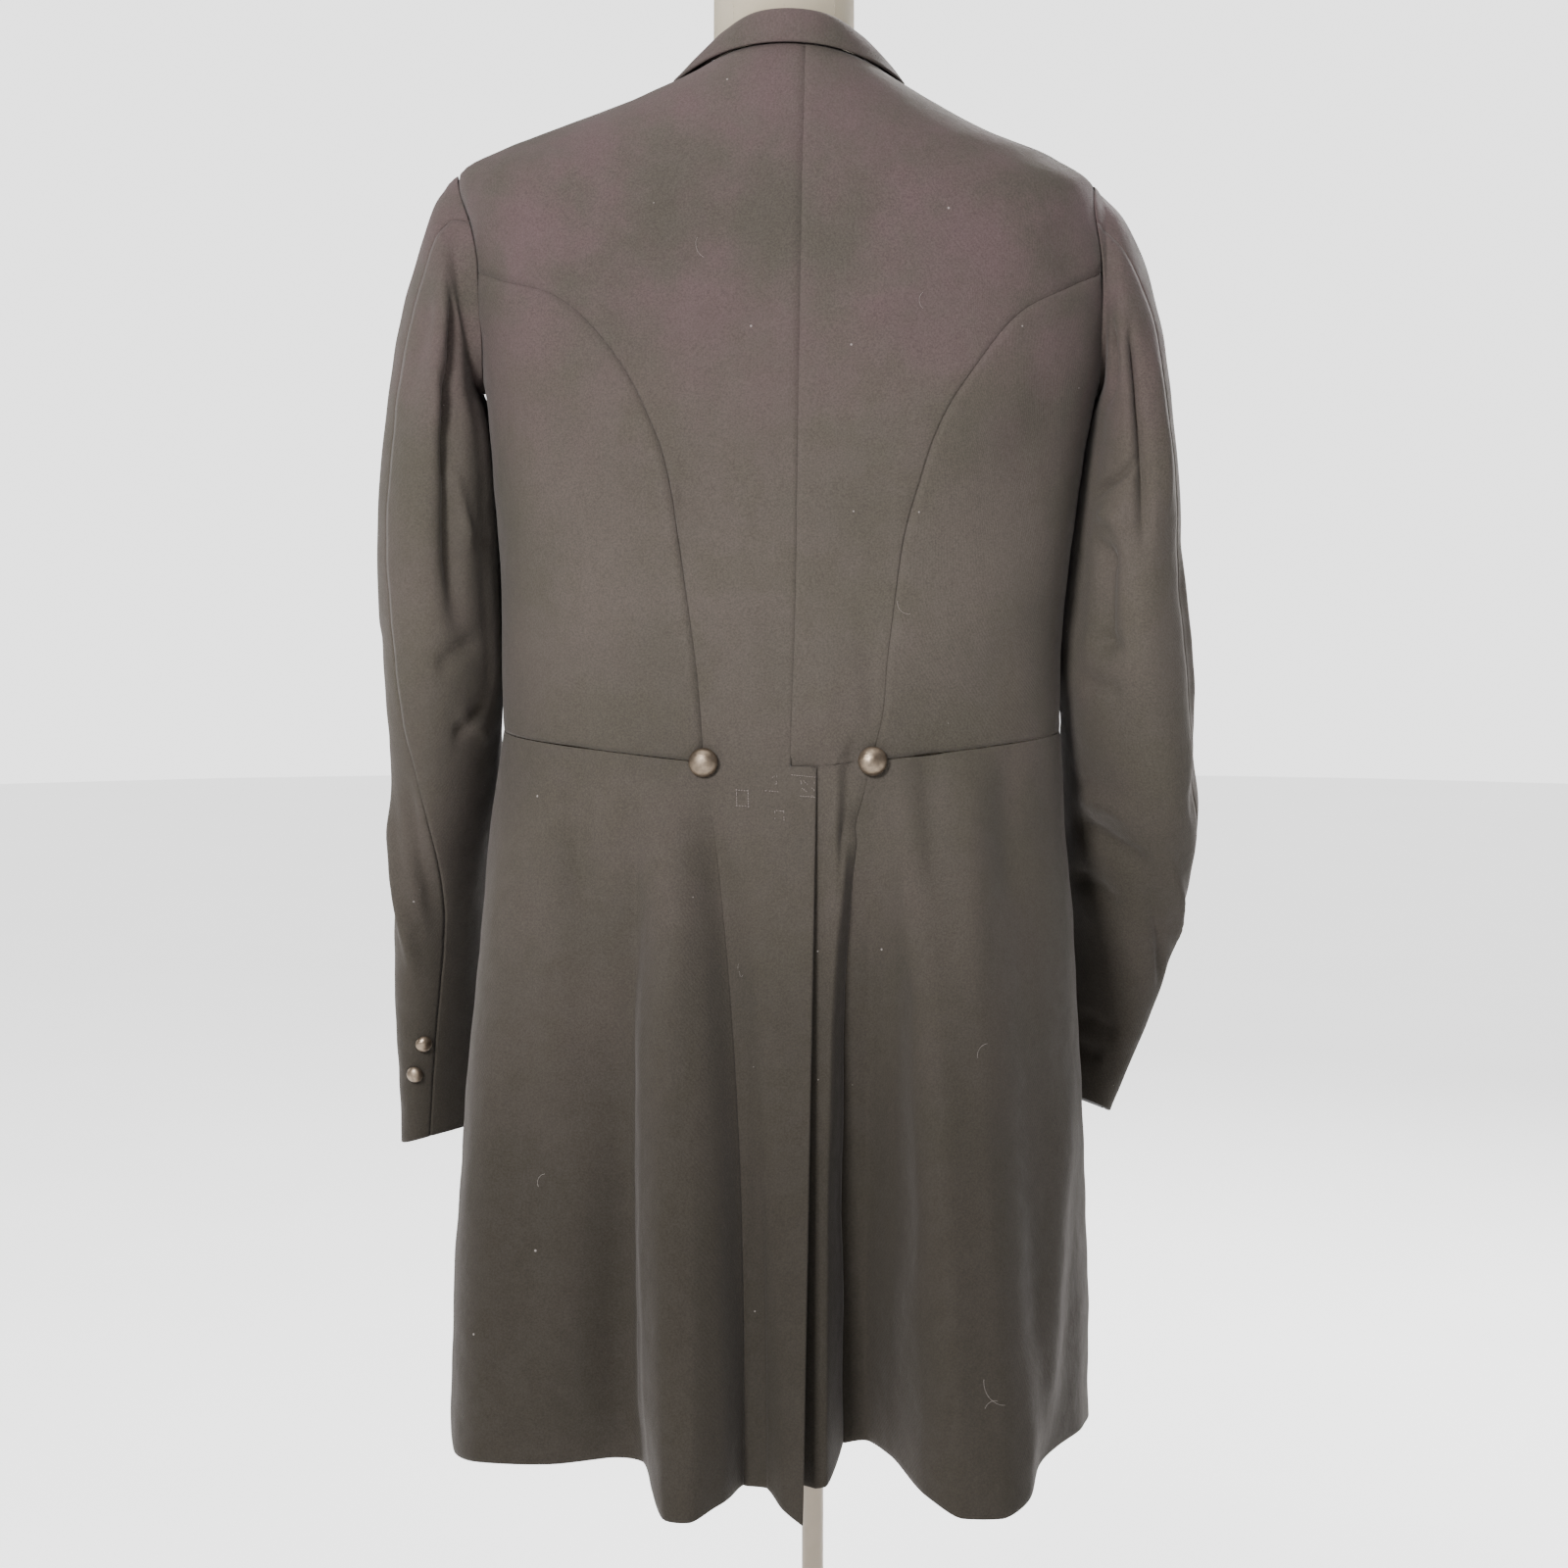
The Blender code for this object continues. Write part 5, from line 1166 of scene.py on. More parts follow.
def add_cloth(node, outer, inner, seams=(), materials=("Faded wool", "Twill lining")):
    """Cloth between its outer and its inner grid, lined inside, with soft edges where it isn't sewn."""
    across_edge = outer[1:, :-1] - outer[:-1, :-1]
    up_edge = outer[:-1, 1:] - outer[:-1, :-1]
    turned = np.sum(np.cross(across_edge, up_edge) * (outer - inner)[:-1, :-1]) < 0
    across, up = outer.shape[:2]
    number = np.arange(across * up).reshape(across, up)
    layer = across * up
    cells = np.stack([number[:-1, :-1], number[1:, :-1], number[1:, 1:], number[:-1, 1:]], axis=-1)
    cells = cells.reshape(-1, 4)
    if turned:
        cells = cells[:, ::-1]
    edges = {
        "bottom": [(i, 0, i, 1) for i in range(across)],
        "right": [(across - 1, j, across - 2, j) for j in range(up)],
        "top": [(i, up - 1, i, up - 2) for i in range(across - 1, -1, -1)],
        "left": [(0, j, 1, j) for j in range(up - 1, -1, -1)],
    }
    rim, push = [], []
    for side, places in edges.items():
        for i, j, k, m in places[:-1]:
            rim.append(number[i, j])
            away = outer[i, j] - outer[k, m]
            away = away / max(np.linalg.norm(away), 1e-9)
            push.append(away * (0.0 if side in seams else np.linalg.norm(outer[i, j] - inner[i, j]) * 0.38))
    rim = np.array(rim)
    flat_outer, flat_inner = outer.reshape(-1, 3), inner.reshape(-1, 3)
    middle = (flat_outer[rim] + flat_inner[rim]) / 2 + np.array(push)
    vertices = np.vstack([flat_outer, flat_inner, middle]) + (COAT_SHIFT, 0, 0)
    count = len(rim)
    ahead = np.roll(np.arange(count), -1)
    halfway = 2 * layer + np.arange(count)
    upper = np.stack([rim[ahead], rim, halfway, halfway[ahead]], axis=-1)
    lower = np.stack([halfway[ahead], halfway, layer + rim, layer + rim[ahead]], axis=-1)
    bands = np.vstack([upper, lower])
    if turned:
        bands = bands[:, ::-1]
    faces = np.vstack([cells, layer + cells[:, ::-1], bands])
    slots = np.zeros(len(faces), np.int32)
    slots[len(cells) : 2 * len(cells)] = len(materials) - 1
    uvs = uv_of(outer).reshape(-1, 2)
    uvs = np.vstack([uvs, uvs, uvs[rim]])
    piece = add_mesh(f"{node}_cloth", vertices, faces.tolist(), materials, slots, uvs)
    SURFACES[node] = (outer, outer - inner)
    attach(piece, "root")
    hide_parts(node)
    return piece


def add_panel(node, chart, sides, look, raised=0.0, hole=None):
    """A panel of the body from its chart points."""
    normals = body_normal(chart[..., 0], chart[..., 1])
    points = body(chart[..., 0], chart[..., 1])
    points = points + normals * np.broadcast_to(raised, chart.shape[:2])[..., None]
    relief = body_relief(points, normals, look) + seam_relief(points, sides, look, hole)
    points = trimmed(points, normals, sides) + normals * relief[..., None]
    add_cloth(node, points, points - normals * look.wall, sides)


def add_back(side, rim, seam, look):
    """A back panel and its tail in one piece."""
    chart = back_chart(side, rim, seam)
    upper = body(chart[..., 0], chart[..., 1])
    upper_normals = body_normal(chart[..., 0], chart[..., 1])
    rows = tail_rows(side)
    rows = table(rows, np.linspace(0, len(rows) - 1, BACK_ACROSS + 1))
    angles = np.array([waist_angle(x) for x in rows[:, 0]])
    down = share_down(TAIL_ROWS)
    lower = hanging(body(angles, 0.0), rows[:, 1:], down)[:, ::-1]
    flat = body_normal(angles, np.zeros_like(angles))[:, None]
    blend = np.clip(down[::-1] / 0.12, 0, 1)[None, :, None]
    lower_normals = unit(grid_normals(lower, flat) * blend + flat * (1 - blend))
    if side < 0:
        lower_under = np.clip((lower[..., 0] + 0.034) / 0.011, 0, 1)
        upper_under = np.clip((upper[..., 0] + 0.034) / 0.011, 0, 1)
        upper_under *= np.clip((1.003 - upper[..., 2]) / 0.008, 0, 1)
        lower = lower - lower_normals * (lower_under * VENT_STEP)[..., None]
        upper = upper - upper_normals * (upper_under * VENT_STEP)[..., None]
    points = np.concatenate([lower, upper], axis=1)
    normals = np.concatenate([lower_normals, upper_normals], axis=1)
    sewn = smooth((points[..., 2] - 0.985) / 0.012)
    hole = ("right", TAIL_ROWS + SEAM_ROWS)
    relief = body_relief(points, normals, look)
    relief = relief + seam_relief(points, ("left", "right", "top"), look, hole) * sewn
    below = smooth((0.985 - points[..., 2]) / 0.06)
    flatness = smooth((normals[..., 1] - 0.75) / 0.2)
    relief = relief - look.pleat * flatness * below * np.exp(-((edge_distance(points, "right") / 0.013) ** 2))
    under_vent = np.clip((0.030 - np.abs(points[..., 0] + 0.008)) / 0.012, 0, 1) * (1 - sewn)
    relief = relief * (1 - 0.85 * under_vent)
    points = trimmed(points, normals, ("left", "right", "top")) + normals * relief[..., None]
    add_cloth(f"back_{name_of(side)}", points, points - normals * look.wall, ("top",))


def add_skirt(side, look):
    """A skirt from the front edge to the pleat under its hip button."""
    rows = np.array(LEFT_SKIRT if side > 0 else RIGHT_SKIRT)
    rows[:, 0] = on_side(rows[:, 0], side)
    rows[:, 1] *= side
    end = tail_rows(side)[-1]
    rows = np.vstack([rows, [waist_angle(end[0]), *end[1:]]])
    rows = table(rows, np.linspace(0, len(rows) - 1, SKIRT_ACROSS + 1))
    waist = body(rows[:, 0], 0.0)
    down = np.concatenate([[0.0], share_down(TAIL_ROWS)])
    points = hanging(waist, rows[:, 1:], down)[:, ::-1]
    flat = body_normal(rows[:, 0], np.zeros(len(rows)))[:, None]
    normals = grid_normals(points, flat)
    points = points + flat * front_rise(side, rows[:, 0])[:, None, None]
    free = smooth(edge_distance(points, "left") / 0.05) * smooth(edge_distance(points, "right") / 0.03)
    relief = body_relief(points, normals, look) * free + seam_relief(points, ("top",), look)
    fade = np.exp(-((edge_distance(points, "right") / 0.016) ** 2))[:, :TAIL_ROWS, None]
    points = trimmed(points, normals, ("right", "top")) + normals * relief[..., None]
    tail_edge = SURFACES[f"back_{name_of(side)}"][0][-1, :TAIL_ROWS]
    points[:, :TAIL_ROWS] += fade * (tail_edge - points[-1, :TAIL_ROWS])
    add_cloth(f"skirt_{name_of(side)}", points, points - normals * look.wall, ("top",))


def side_face(y, z, side):
    """How far out the coat's side stands at a y and z, on one side."""
    angle, level = np.full(y.shape, on_side(0.0, side)), np.interp(z, [row[4] for row in BODY], np.arange(10.0))
    small = 1e-4
    for _ in range(14):
        here = body(angle, level)
        turned = (body(angle + small, level) - here) / small
        raised = (body(angle, level + small) - here) / small
        off_y, off_z = y - here[..., 1], z - here[..., 2]
        size = turned[..., 1] * raised[..., 2] - turned[..., 2] * raised[..., 1]
        turn_by = (off_y * raised[..., 2] - off_z * raised[..., 1]) / size
        rise_by = (turned[..., 1] * off_z - turned[..., 2] * off_y) / size
        angle = angle + np.clip(turn_by, -0.2, 0.2)
        level = np.clip(level + np.clip(rise_by, -0.3, 0.3), 0, NECK_LEVEL)
    return side * body(angle, level)[..., 0]


def rested(points, side):
    """A sleeve's points with its inner side leaning softly on the body, and how far they were from it."""
    y, z = points[..., 1], points[..., 2]
    near = (z > 1.01) & (z < 1.26) & (np.abs(y) < 0.085)
    gap = np.full(y.shape, 0.05)
    gap[near] = side * points[..., 0][near] - side_face(y[near], z[near], side)
    window = smooth((z - 1.02) / 0.03) * smooth((1.245 - z) / 0.02) * smooth((0.080 - np.abs(y)) / 0.02)
    held = np.maximum(gap, 0.0)
    leaned = 0.0006 + held * smooth(held / 0.013)
    move = np.where(near & (gap < 0.013), (leaned - gap) * window, 0.0)
    points = points.copy()
    points[..., 0] += side * move
    return points, gap


def add_sleeve(side, rim, look):
    """A top sleeve and an under sleeve."""
    sleeve = LEFT_SLEEVE if side > 0 else RIGHT_SLEEVE
    creases = LEFT_SLEEVE_CREASES if side > 0 else RIGHT_SLEEVE_CREASES
    places = np.linspace(0, len(sleeve) - 1, SLEEVE_ROWS)
    rows = table(sleeve, places)
    rows[:, 1] -= SLEEVE_HEAD_DROP * np.exp(-places / 1.1)
    shares = np.linspace(0, 1, SLEEVE_ROWS)
    seams = sleeve_seams(side, shares)
    lines = []
    for t0, s0, t1, s1, wide, high in creases:
        start = (math.radians(t0) * SLEEVE_RADIUS, s0 * SLEEVE_LENGTH)
        lines.append((*start, math.radians(t1) * SLEEVE_RADIUS, s1 * SLEEVE_LENGTH, 0.002, wide, high))
    for part, cells in SLEEVE_AROUND.items():
        points, beside, outward, turns = [], [], [], []
        for row, (hind, front) in zip(rows, seams):
            around = np.linspace(*((front - 2 * np.pi, hind) if part == "top" else (hind, front)), cells + 1)
            ring, middle = sleeve_ring(row, around, side)
            points.append(ring)
            beside.append(sleeve_ring(row, around + 0.02, side)[0] - sleeve_ring(row, around - 0.02, side)[0])
            outward.append(ring - middle)
            turns.append(around)
        points, turns = np.array(points), np.array(turns)
        normals = unit(np.cross(np.array(beside), np.gradient(points, axis=0)))
        normals *= np.sign(np.sum(normals * np.array(outward)))
        down = np.broadcast_to(shares[:, None] * SLEEVE_LENGTH, turns.shape)
        relief = sum(
            crease_height((turns + k * 2 * np.pi) * SLEEVE_RADIUS, down, lines) for k in (-1, 0, 1)
        )
        relief = relief * look.crease + unevenness(points) * look.swell * 1.2
        ease = np.sin(turns * 17 + 1.4 * np.sin(turns * 5)) * np.exp(-down / 0.012)
        relief = relief * smooth(down / 0.03) + ease * look.pucker * 2
        points, clear = rested(points, side)
        relief = relief * smooth(clear / 0.008)
        foot, foot_normals, off = armhole_ring(rim, turns[0])
        foot = foot + foot_normals * 0.00015 + off * (0.0003 + look.wall)
        across = points[0] - foot
        reach = np.linalg.norm(across, axis=-1, keepdims=True)
        start = unit(unit(across) + foot_normals * 0.55) * reach
        finish = unit(points[1] - points[0]) * reach
        f = np.linspace(0, 1, HEAD_ROWS, endpoint=False)[:, None, None]
        head = foot * (1 + 2 * f) * (1 - f) ** 2 + points[0] * f * f * (3 - 2 * f)
        head = head + start * f * (1 - f) ** 2 + finish * f * f * (f - 1)
        points = np.concatenate([head, points])
        blend = smooth(f / 0.5)
        rough_out = np.concatenate([off * (1 - blend) + foot_normals * blend, normals])
        normals = grid_normals(points, rough_out)
        normals[0] = off
        normals[1] = unit(off + normals[1])
        relief = np.concatenate([np.zeros((HEAD_ROWS, cells + 1)), relief])
        points, normals = np.swapaxes(points, 0, 1), np.swapaxes(normals, 0, 1)
        sewn = smooth((np.arange(points.shape[1]) - HEAD_ROWS) / 6.0)
        relief = relief.T + seam_relief(points, ("left", "right"), look) * sewn * 0.6
        points = trimmed(points, normals, ("left", "right")) + normals * relief[..., None]
        inner = points - normals * look.wall
        add_cloth(f"{part}_sleeve_{name_of(side)}", points, inner, ("left", "right", "bottom"))


def add_collar(look):
    """The collar's stand and fall in one folded strip round the neck."""
    places = np.linspace(COLLAR[0][0], COLLAR[-1][0], COLLAR_AROUND + 1)
    rows = curve([row[0] for row in COLLAR], [row[1:] for row in COLLAR], places)
    angles = np.radians(places) + np.pi / 2
    section = []
    for angle, (rise, lean, apart, leaf) in zip(angles, rows):
        neck = body(angle, NECK_LEVEL) - body_normal(angle, NECK_LEVEL) * look.wall / 2
        out = unit(body_normal(angle, NECK_LEVEL) * (1, 1, 0))
        up = np.array([0, 0, 1.0])
        foot = neck + up * 0.0014
        low = NECK_LEVEL - leaf
        fall = body(angle, low) + body_normal(angle, low) * (COLLAR_GAP + look.wall / 2)
        top = neck + up * rise - out * lean
        inner = top - up * 0.0018
        outer = inner + out * apart
        line = [foot, foot * 0.45 + inner * 0.55, inner, top + out * apart * 0.5, outer]
        line += [outer * 0.55 + fall * 0.45 + out * 0.0012, fall]
        far = np.insert(np.cumsum(np.linalg.norm(np.diff(line, axis=0), axis=1)), 0, 0)
        section.append(curve(far, line, np.linspace(0, far[-1], COLLAR_SECTION + 1)))
    points = np.array(section)
    beyond = points[:, -1] - points[:, 0] + (0, 0, 0.03)
    normals = grid_normals(points, beyond[:, None])
    points = points + normals * (unevenness(points) * look.swell * 0.4)[..., None]
    add_cloth("collar", points + normals * look.wall / 2, points - normals * look.wall / 2, (), ("Faded wool",))


def new_tree(name, inputs):
    """A geometry node tree with its shape in and out and named inputs."""
    tree = bpy.data.node_groups.new(name, "GeometryNodeTree")
    tree.interface.new_socket(name="Geometry", in_out="INPUT", socket_type="NodeSocketGeometry")
    for label, kind in inputs:
        tree.interface.new_socket(name=label, in_out="INPUT", socket_type=kind)
    tree.interface.new_socket(name="Geometry", in_out="OUTPUT", socket_type="NodeSocketGeometry")
    return tree, tree.nodes.new("NodeGroupInput"), tree.nodes.new("NodeGroupOutput")


def make_stitch_tree():
    """Stitches along lines: a small rounded body for each, laid in the line's direction."""
    floats = [(label, "NodeSocketFloat") for label in ("Spacing", "Length", "Width")]
    tree, start, end = new_tree("Stitches on lines", [*floats, ("Thread", "NodeSocketMaterial")])
    nodes, links = tree.nodes, tree.links
    lines = nodes.new("GeometryNodeMeshToCurve")
    links.new(start.outputs["Geometry"], lines.inputs["Mesh"])
    spread = nodes.new("GeometryNodeCurveToPoints")
    spread.mode = "LENGTH"
    links.new(lines.outputs["Curve"], spread.inputs["Curve"])
    links.new(start.outputs["Spacing"], spread.inputs["Length"])
    turn = nodes.new("FunctionNodeAlignRotationToVector")
    turn.axis = "X"
    links.new(spread.outputs["Tangent"], turn.inputs["Vector"])
    ball = nodes.new("GeometryNodeMeshUVSphere")
    ball.inputs["Segments"].default_value = 6
    ball.inputs["Rings"].default_value = 4
    ball.inputs["Radius"].default_value = 0.5
    size = nodes.new("ShaderNodeCombineXYZ")
    links.new(start.outputs["Length"], size.inputs["X"])
    links.new(start.outputs["Width"], size.inputs["Y"])
    links.new(start.outputs["Width"], size.inputs["Z"])
    place = nodes.new("GeometryNodeInstanceOnPoints")
    links.new(spread.outputs["Points"], place.inputs["Points"])
    links.new(ball.outputs["Mesh"], place.inputs["Instance"])
    links.new(turn.outputs["Rotation"], place.inputs["Rotation"])
    links.new(size.outputs["Vector"], place.inputs["Scale"])
    finish_tree(tree, place.outputs["Instances"], start.outputs["Thread"], end)


def make_strand_tree():
    """A strand of thread with a round section along each line."""
    tree, start, end = new_tree("Strands", [("Width", "NodeSocketFloat"), ("Thread", "NodeSocketMaterial")])
    nodes, links = tree.nodes, tree.links
    lines = nodes.new("GeometryNodeMeshToCurve")
    links.new(start.outputs["Geometry"], lines.inputs["Mesh"])
    ring = nodes.new("GeometryNodeCurvePrimitiveCircle")
    ring.inputs["Resolution"].default_value = 6
    ring.inputs["Radius"].default_value = 0.5
    size = nodes.new("GeometryNodeTransform")
    scale = nodes.new("ShaderNodeCombineXYZ")
    for axis in ("X", "Y", "Z"):
        links.new(start.outputs["Width"], scale.inputs[axis])
    links.new(ring.outputs["Curve"], size.inputs["Geometry"])
    links.new(scale.outputs["Vector"], size.inputs["Scale"])
    tube = nodes.new("GeometryNodeCurveToMesh")
    tube.inputs["Fill Caps"].default_value = True
    links.new(lines.outputs["Curve"], tube.inputs["Curve"])
    links.new(size.outputs["Geometry"], tube.inputs["Profile Curve"])
    finish_tree(tree, tube.outputs["Mesh"], start.outputs["Thread"], end)


def finish_tree(tree, shape, thread, end):
    """Closes a tree with real geometry in its material."""
    nodes, links = tree.nodes, tree.links
    real = nodes.new("GeometryNodeRealizeInstances")
    cover = nodes.new("GeometryNodeSetMaterial")
    links.new(shape, real.inputs["Geometry"])
    links.new(real.outputs["Geometry"], cover.inputs["Geometry"])
    links.new(thread, cover.inputs["Material"])
    links.new(cover.outputs["Geometry"], end.inputs["Geometry"])


def add_along(name, lines, tree, slot, **values):
    """A piece that a tree makes along lines of points."""
    vertices, edges = [], []
    for line in lines:
        first = len(vertices)
        vertices += [tuple(map(float, point)) for point in line]
        edges += [(first + k, first + k + 1) for k in range(len(line) - 1)]
    mesh = bpy.data.meshes.new(name)
    mesh.from_pydata(vertices, edges, [])
    guide = bpy.data.objects.new(f"{name}_lines", mesh)
    bpy.context.scene.collection.objects.link(guide)
    modifier = guide.modifiers.new("Make", "NODES")
    modifier.node_group = bpy.data.node_groups[tree]
    for item in modifier.node_group.interface.items_tree:
        if item.in_out == "INPUT" and item.name in values:
            modifier[item.identifier] = values[item.name]
    graph = bpy.context.evaluated_depsgraph_get()
    made = bpy.data.meshes.new_from_object(guide.evaluated_get(graph), depsgraph=graph)
    bpy.data.objects.remove(guide)
    made.name = name
    made.shade_smooth()
    piece = bpy.data.objects.new(name, made)
    bpy.context.scene.collection.objects.link(piece)
    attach(piece, "root")
    return piece


def lies_on(nodes, x, z, faces_back=True, lift=0.0):
    """The place on a panel at an x and z of the coat, lifted off it."""
    best = None
    for name in nodes:
        points, out = SURFACES[name][0].reshape(-1, 3), SURFACES[name][1].reshape(-1, 3)
        away = (points[:, 0] - x) ** 2 + (points[:, 2] - z) ** 2
        away = away + np.where((out[:, 1] > 0) == faces_back, 0, 1.0)
        near = np.argsort(away)[:6]
        if best is None or away[near[0]] < best[0]:
            around = points[near]
            plane = np.column_stack([np.ones(6), around[:, 0] - x, around[:, 2] - z])
            y = np.linalg.lstsq(plane, around[:, 1], rcond=None)[0][0]
            best = (away[near[0]], np.array([x, y, z]) + unit(out[near].mean(axis=0)) * lift)
    return best[1] + (COAT_SHIFT, 0, 0)


def line_on(nodes, start, end, lift, steps=14, faces_back=True):
    """A straight line over a panel between two places told by x and z."""
    shares = np.linspace(0, 1, steps)
    return [
        lies_on(nodes, start[0] + (end[0] - start[0]) * f, start[1] + (end[1] - start[1]) * f, faces_back, lift)
        for f in shares
    ]


def line_beside(name, side, distance, lift, start=0.0, end=1.0):
    """A line on a panel at a distance from one of its edges."""
    points, out = SURFACES[name]
    far = edge_distance(points, side)
    if side in ("top", "bottom"):
        rows = [(points[k], out[k], far[k]) for k in range(len(points))]
    else:
        rows = [(points[:, k], out[:, k], far[:, k]) for k in range(points.shape[1])]
    rows = rows[int(start * len(rows)) : max(int(end * len(rows)), 2)]
    line = []
    for places, away, gone in rows:
        order = np.argsort(gone)
        here = [np.interp(distance, gone[order], places[order, k]) for k in range(3)]
        normal = unit(np.array([np.interp(distance, gone[order], away[order, k]) for k in range(3)]))
        line.append(np.array(here) + normal * lift + (COAT_SHIFT, 0, 0))
    return line


def add_turned(name, material, profile, count, centre, axis):
    """A turned piece with a smooth profile of (radius, height) rows, closed at its poles."""
    axis = unit(np.asarray(axis, float))
    side = unit(np.cross((0.0, 0.0, 1.0) if abs(axis[2]) < 0.9 else (1.0, 0.0, 0.0), axis))
    other = np.cross(axis, side)
    turn = np.linspace(0, 2 * np.pi, count, endpoint=False)[:, None]
    around = np.cos(turn) * side + np.sin(turn) * other
    rings = [np.asarray(centre) + axis * height + radius * around for radius, height in profile[1:-1]]
    poles = [np.asarray(centre) + axis * profile[k][1] for k in (0, -1)]
    return add_rings(name, material, rings, *poles)


def add_rings(name, material, rings, start, end):
    """A closed piece from rings of points and its two poles."""
    count = len(rings[0])
    vertices = np.vstack([*rings, [start], [end]])
    low, high = len(vertices) - 2, len(vertices) - 1
    faces = []
    for k in range(count):
        n = (k + 1) % count
        faces.append((low, n, k))
        starts = range(0, (len(rings) - 1) * count, count)
        faces += [(r + k, r + n, r + count + n, r + count + k) for r in starts]
        faces.append(((len(rings) - 1) * count + k, (len(rings) - 1) * count + n, high))
    lengths = np.linalg.norm(np.roll(rings[len(rings) // 2], -1, axis=0) - rings[len(rings) // 2], axis=1)
    along = np.insert(np.cumsum(lengths), 0, 0)[:-1]
    up = np.insert(np.cumsum([np.linalg.norm(b - a, axis=1).mean() for a, b in zip(rings, rings[1:])]), 0, 0)
    uvs = [(u, v) for v in up for u in along] + [(0, up[0]), (0, up[-1])]
    return add_mesh(name, vertices, faces, [material], None, uvs)


def rounded(profile, steps=5):
    """A profile with its corners between rows drawn smooth."""
    rows = np.array(profile, float)
    far = np.insert(np.cumsum(np.linalg.norm(np.diff(rows, axis=0), axis=1)), 0, 0)
    places = np.unique(np.concatenate([np.linspace(a, b, steps + 1) for a, b in zip(far, far[1:])]))
    return curve(far, rows, places)


def add_button(name, across, surface, direction, gap=BUTTON_GAP):
    """A domed button with a steep turned-down edge, in place of its solid."""
    r = across / 2
    profile = [(0, 0.02), (0.40, 0.0), (0.70, 0.0), (0.93, 0.03), (1.0, 0.10), (0.995, 0.20), (0.96, 0.32)]
    profile += [(0.90, 0.44), (0.80, 0.56), (0.66, 0.67), (0.50, 0.75), (0.33, 0.81), (0.16, 0.84), (0, 0.85)]
    rows = rounded([(a * r, b * r) for a, b in profile], 2)
    direction = unit(direction)
    foot = surface + direction * gap
    piece = add_turned(f"{name}_turned", "Worn button metal", rows, BUTTON_AROUND, foot, direction)
    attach(piece, "root")
    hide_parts(name)


def add_hip_button(side):
    """The button at the head of a back pleat."""
    angle = waist_angle(tail_rows(side)[-1][0])
    centre = body(angle, 0.0) + (COAT_SHIFT, 0, 0)
    direction = body_normal(angle, 0.0) + (0, 0, HIP_BUTTON_TILT)
    add_button(f"hip_button_{name_of(side)}", HIP_BUTTON, centre, direction, HIP_BUTTON_GAP)


def add_front_buttons():
    """The plain buttons that close the front, on the left forepart's edge."""
    angle = np.radians(-90.5)
    for number, level in enumerate(FRONT_BUTTON_LEVELS, 1):
        normal = body_normal(angle, level)
        centre = body(angle, level) + normal * front_rise(1, angle) + (COAT_SHIFT, 0, 0)
        add_button(f"front_button_{number}", FRONT_BUTTON, centre, normal)


def add_cuff_buttons(side):
    """The two small buttons above each cuff."""
    sleeve = LEFT_SLEEVE if side > 0 else RIGHT_SLEEVE
    for name, place, before in CUFF_BUTTONS:
        places = np.array([place - 0.01, place, place + 0.01]) * (len(sleeve) - 1)
        above, here, below = table(sleeve, places)
        hind = sleeve_seams(side, place)[0] - np.radians(before)
        ring, middle = sleeve_ring(here, np.array([hind - 0.02, hind, hind + 0.02]), side)
        ends = [sleeve_ring(row, np.array([hind]), side)[0][0] for row in (above, below)]
        down = ends[1] - ends[0]
        direction = np.cross(ring[2] - ring[0], down)
        direction *= np.sign(np.dot(direction, ring[1] - middle))
        centre = ring[1] + (COAT_SHIFT, 0, 0)
        add_button(f"cuff_button_{name_of(side)}_{name}", CUFF_BUTTON, centre, direction)


def form_inset(angle, level):
    """How far the form lies inside the coat's outer face."""
    ridge = np.exp(-(((np.sin(angle) - np.sin(np.radians(SHOULDER_DEG))) / RIDGE_WIDTH) ** 2))
    ridge = ridge * np.clip((level - 6.6) / 0.5, 0, 1) * np.clip((7.8 - level) / 0.4, 0, 1)
    at_neck = NECK_EASE * np.clip((level - 7.4) / 0.8, 0, 1)
    return FORM_WALL + FORM_EASE - (FORM_EASE - RIDGE_GAP) * ridge + at_neck


